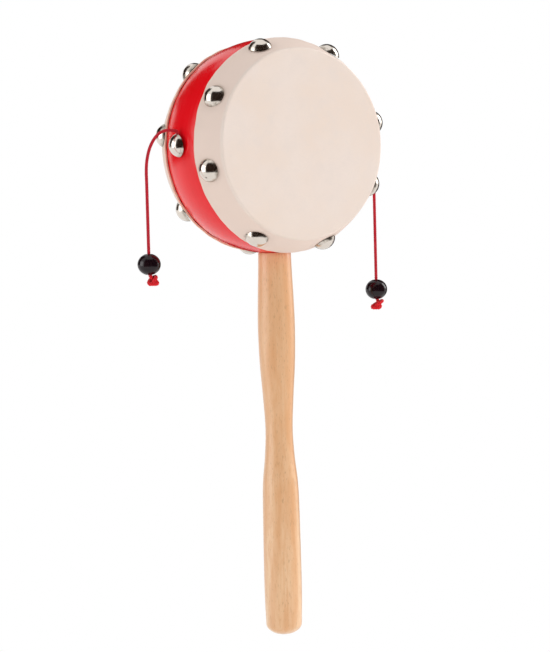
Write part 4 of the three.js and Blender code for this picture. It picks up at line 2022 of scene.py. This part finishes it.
@dataclass(frozen=True)
class Handle:
    """The handle, turned in one piece with a spigot that crosses the drum inside."""

    stations: tuple[Point, ...] = (
        (44, 7.45), (56, 7.75), (70, 8.3), (84, 8.6), (100, 8.2), (116, 7.1), (131, 6.35), (144, 6.95),
        (156, 8.15), (170, 8.55), (205, 8.75), (222.5, 8.35),
    )
    end: float = 227.6
    spigot_radius: float = 6.0
    spigot_top: float = 43.4
    spigot_chamfer: float = 1.0
    seat_gap: float = 0.12
    neck_gaps: Point = (-0.4, 0.2)
    neck_step: float = 0.3
    side_start: float = 1.0
    edge_rounding: float = 0.25
    edge_share: float = 0.3
    segments: int = 128
    station_steps: int = 12
    end_steps: int = 14

    def _side(self) -> list[Point]:
        """Turns the side from its top station to the rounded end.

        Returns:
            The radius and height of each of its points.
        """
        side = [(p.y, -p.x) for p in catmull_rom(self.stations, self.station_steps)]
        radius, height = side[-1]
        drop = self.end + height
        turns = [math.pi / 2 * i / self.end_steps for i in range(1, self.end_steps + 1)]
        end = [(radius * math.cos(a), height - drop * math.sin(a)) for a in turns]
        return [*side, *end[:-1], (0, -self.end)]

    def _under_shell(self, radius: float, angle: float, gap: float) -> float:
        """The height of the shell's underside at a place of the plan, less a gap."""
        x, y = radius * math.cos(angle), radius * math.sin(angle)
        return -math.sqrt(BARREL.radius(y) ** 2 - x * x) - gap

    def _fitted(self, radius: float, gap: float) -> Ring:
        """Lays a ring that follows the shell's underside.

        Args:
            radius: the ring's radius.
            gap: how far it stays below the shell.

        Returns:
            The ring.
        """
        angles = [TURN * i / self.segments for i in range(self.segments)]
        return [
            Vector((radius * math.cos(a), radius * math.sin(a), self._under_shell(radius, a, gap)))
            for a in angles
        ]

    def build(self, beech: bpy.types.Material) -> bpy.types.Object:
        """Makes the handle: spigot, fitted shoulder, side and rounded end.

        Args:
            beech: its material.

        Returns:
            The piece.
        """
        top, chamfer, rounding = self.spigot_top, self.spigot_chamfer, self.edge_rounding
        side = self._side()
        shoulder = next(radius for radius, height in side if height < -BARREL.belly_radius)
        below = -BARREL.belly_radius - self.side_start
        first = rounding * self.edge_share
        rings = [
            circle(0, top, self.segments),
            circle(self.spigot_radius - chamfer, top, self.segments),
            circle(self.spigot_radius, top - chamfer, self.segments),
            *(self._fitted(self.spigot_radius, gap) for gap in self.neck_gaps),
            self._fitted(self.spigot_radius + self.neck_step, self.seat_gap),
            self._fitted(shoulder - rounding, self.seat_gap),
            self._fitted(shoulder - first, self.seat_gap + first),
            self._fitted(shoulder, self.seat_gap + rounding),
            *(circle(radius, height, self.segments) for radius, height in side if height < below),
        ]
        mesh = surface_of_rings("turned_handle", rings)
        mesh.materials.append(beech)
        return attach(new_object("turned_handle", mesh), "drum", Slot.BEECH, "handle")


def make_strikers() -> None:
    """Makes both strikers: the cords first, then what is on them."""
    braid = Braid()
    tool = braid.tool()
    dye = BraidedCord().material()
    lacquer = BlackLacquer().material()
    cords = [striker.cord(braid, tool, dye) for striker in STRIKERS]
    line = OverhandKnot().centreline()
    fuller = Braid(cord_radius=0.95, strand_radius=0.345, pitch=4.4)
    # Painted light: the knot takes a lighter copy of the cord's dye, as if it were more brightly lit.
    painted_lit_cord = BraidedCord("red_knot", bright=(0.86, 0.012, 0.022), deep=(0.62, 0.005, 0.014)).material()
    for striker, cord in zip(STRIKERS, cords):
        striker.pinned_end(braid, tool, dye)
        knot = striker.knot(line, fuller, tool, painted_lit_cord)
        bead = striker.bead(lacquer)
        striker.declare_cord(cord, braid, [bead, knot])


def main() -> None:
    """Builds the drum and its studio."""
    logging.basicConfig(level=logging.INFO, format="%(name)s: %(message)s")
    bpy.context.scene.view_settings.view_transform = "Standard"
    studio = Studio()
    studio.camera()
    make_strikers()
    studio.background()
    studio.floor()
    studio.lights()
    punch = TACKS.punching_tool()
    hide = Hide().material()
    TACKS.drive(NickelPlate().material())
    Shell().build(punch, RedPaint().material())
    Head(Facing.FRONT, skirt_edge=11.8, seed=3, cut_warmth=0.35).build(punch, hide)
    # The rear head's cut edge is tinted stronger and wider: painted light on the edge that catches the
    # light.
    Head(Facing.REAR, skirt_edge=15.2, seed=8, cut_warmth=0.95, cut_width=2.4).build(punch, hide)
    Handle().build(Beech().material())


if __name__ == "__main__":
    main()
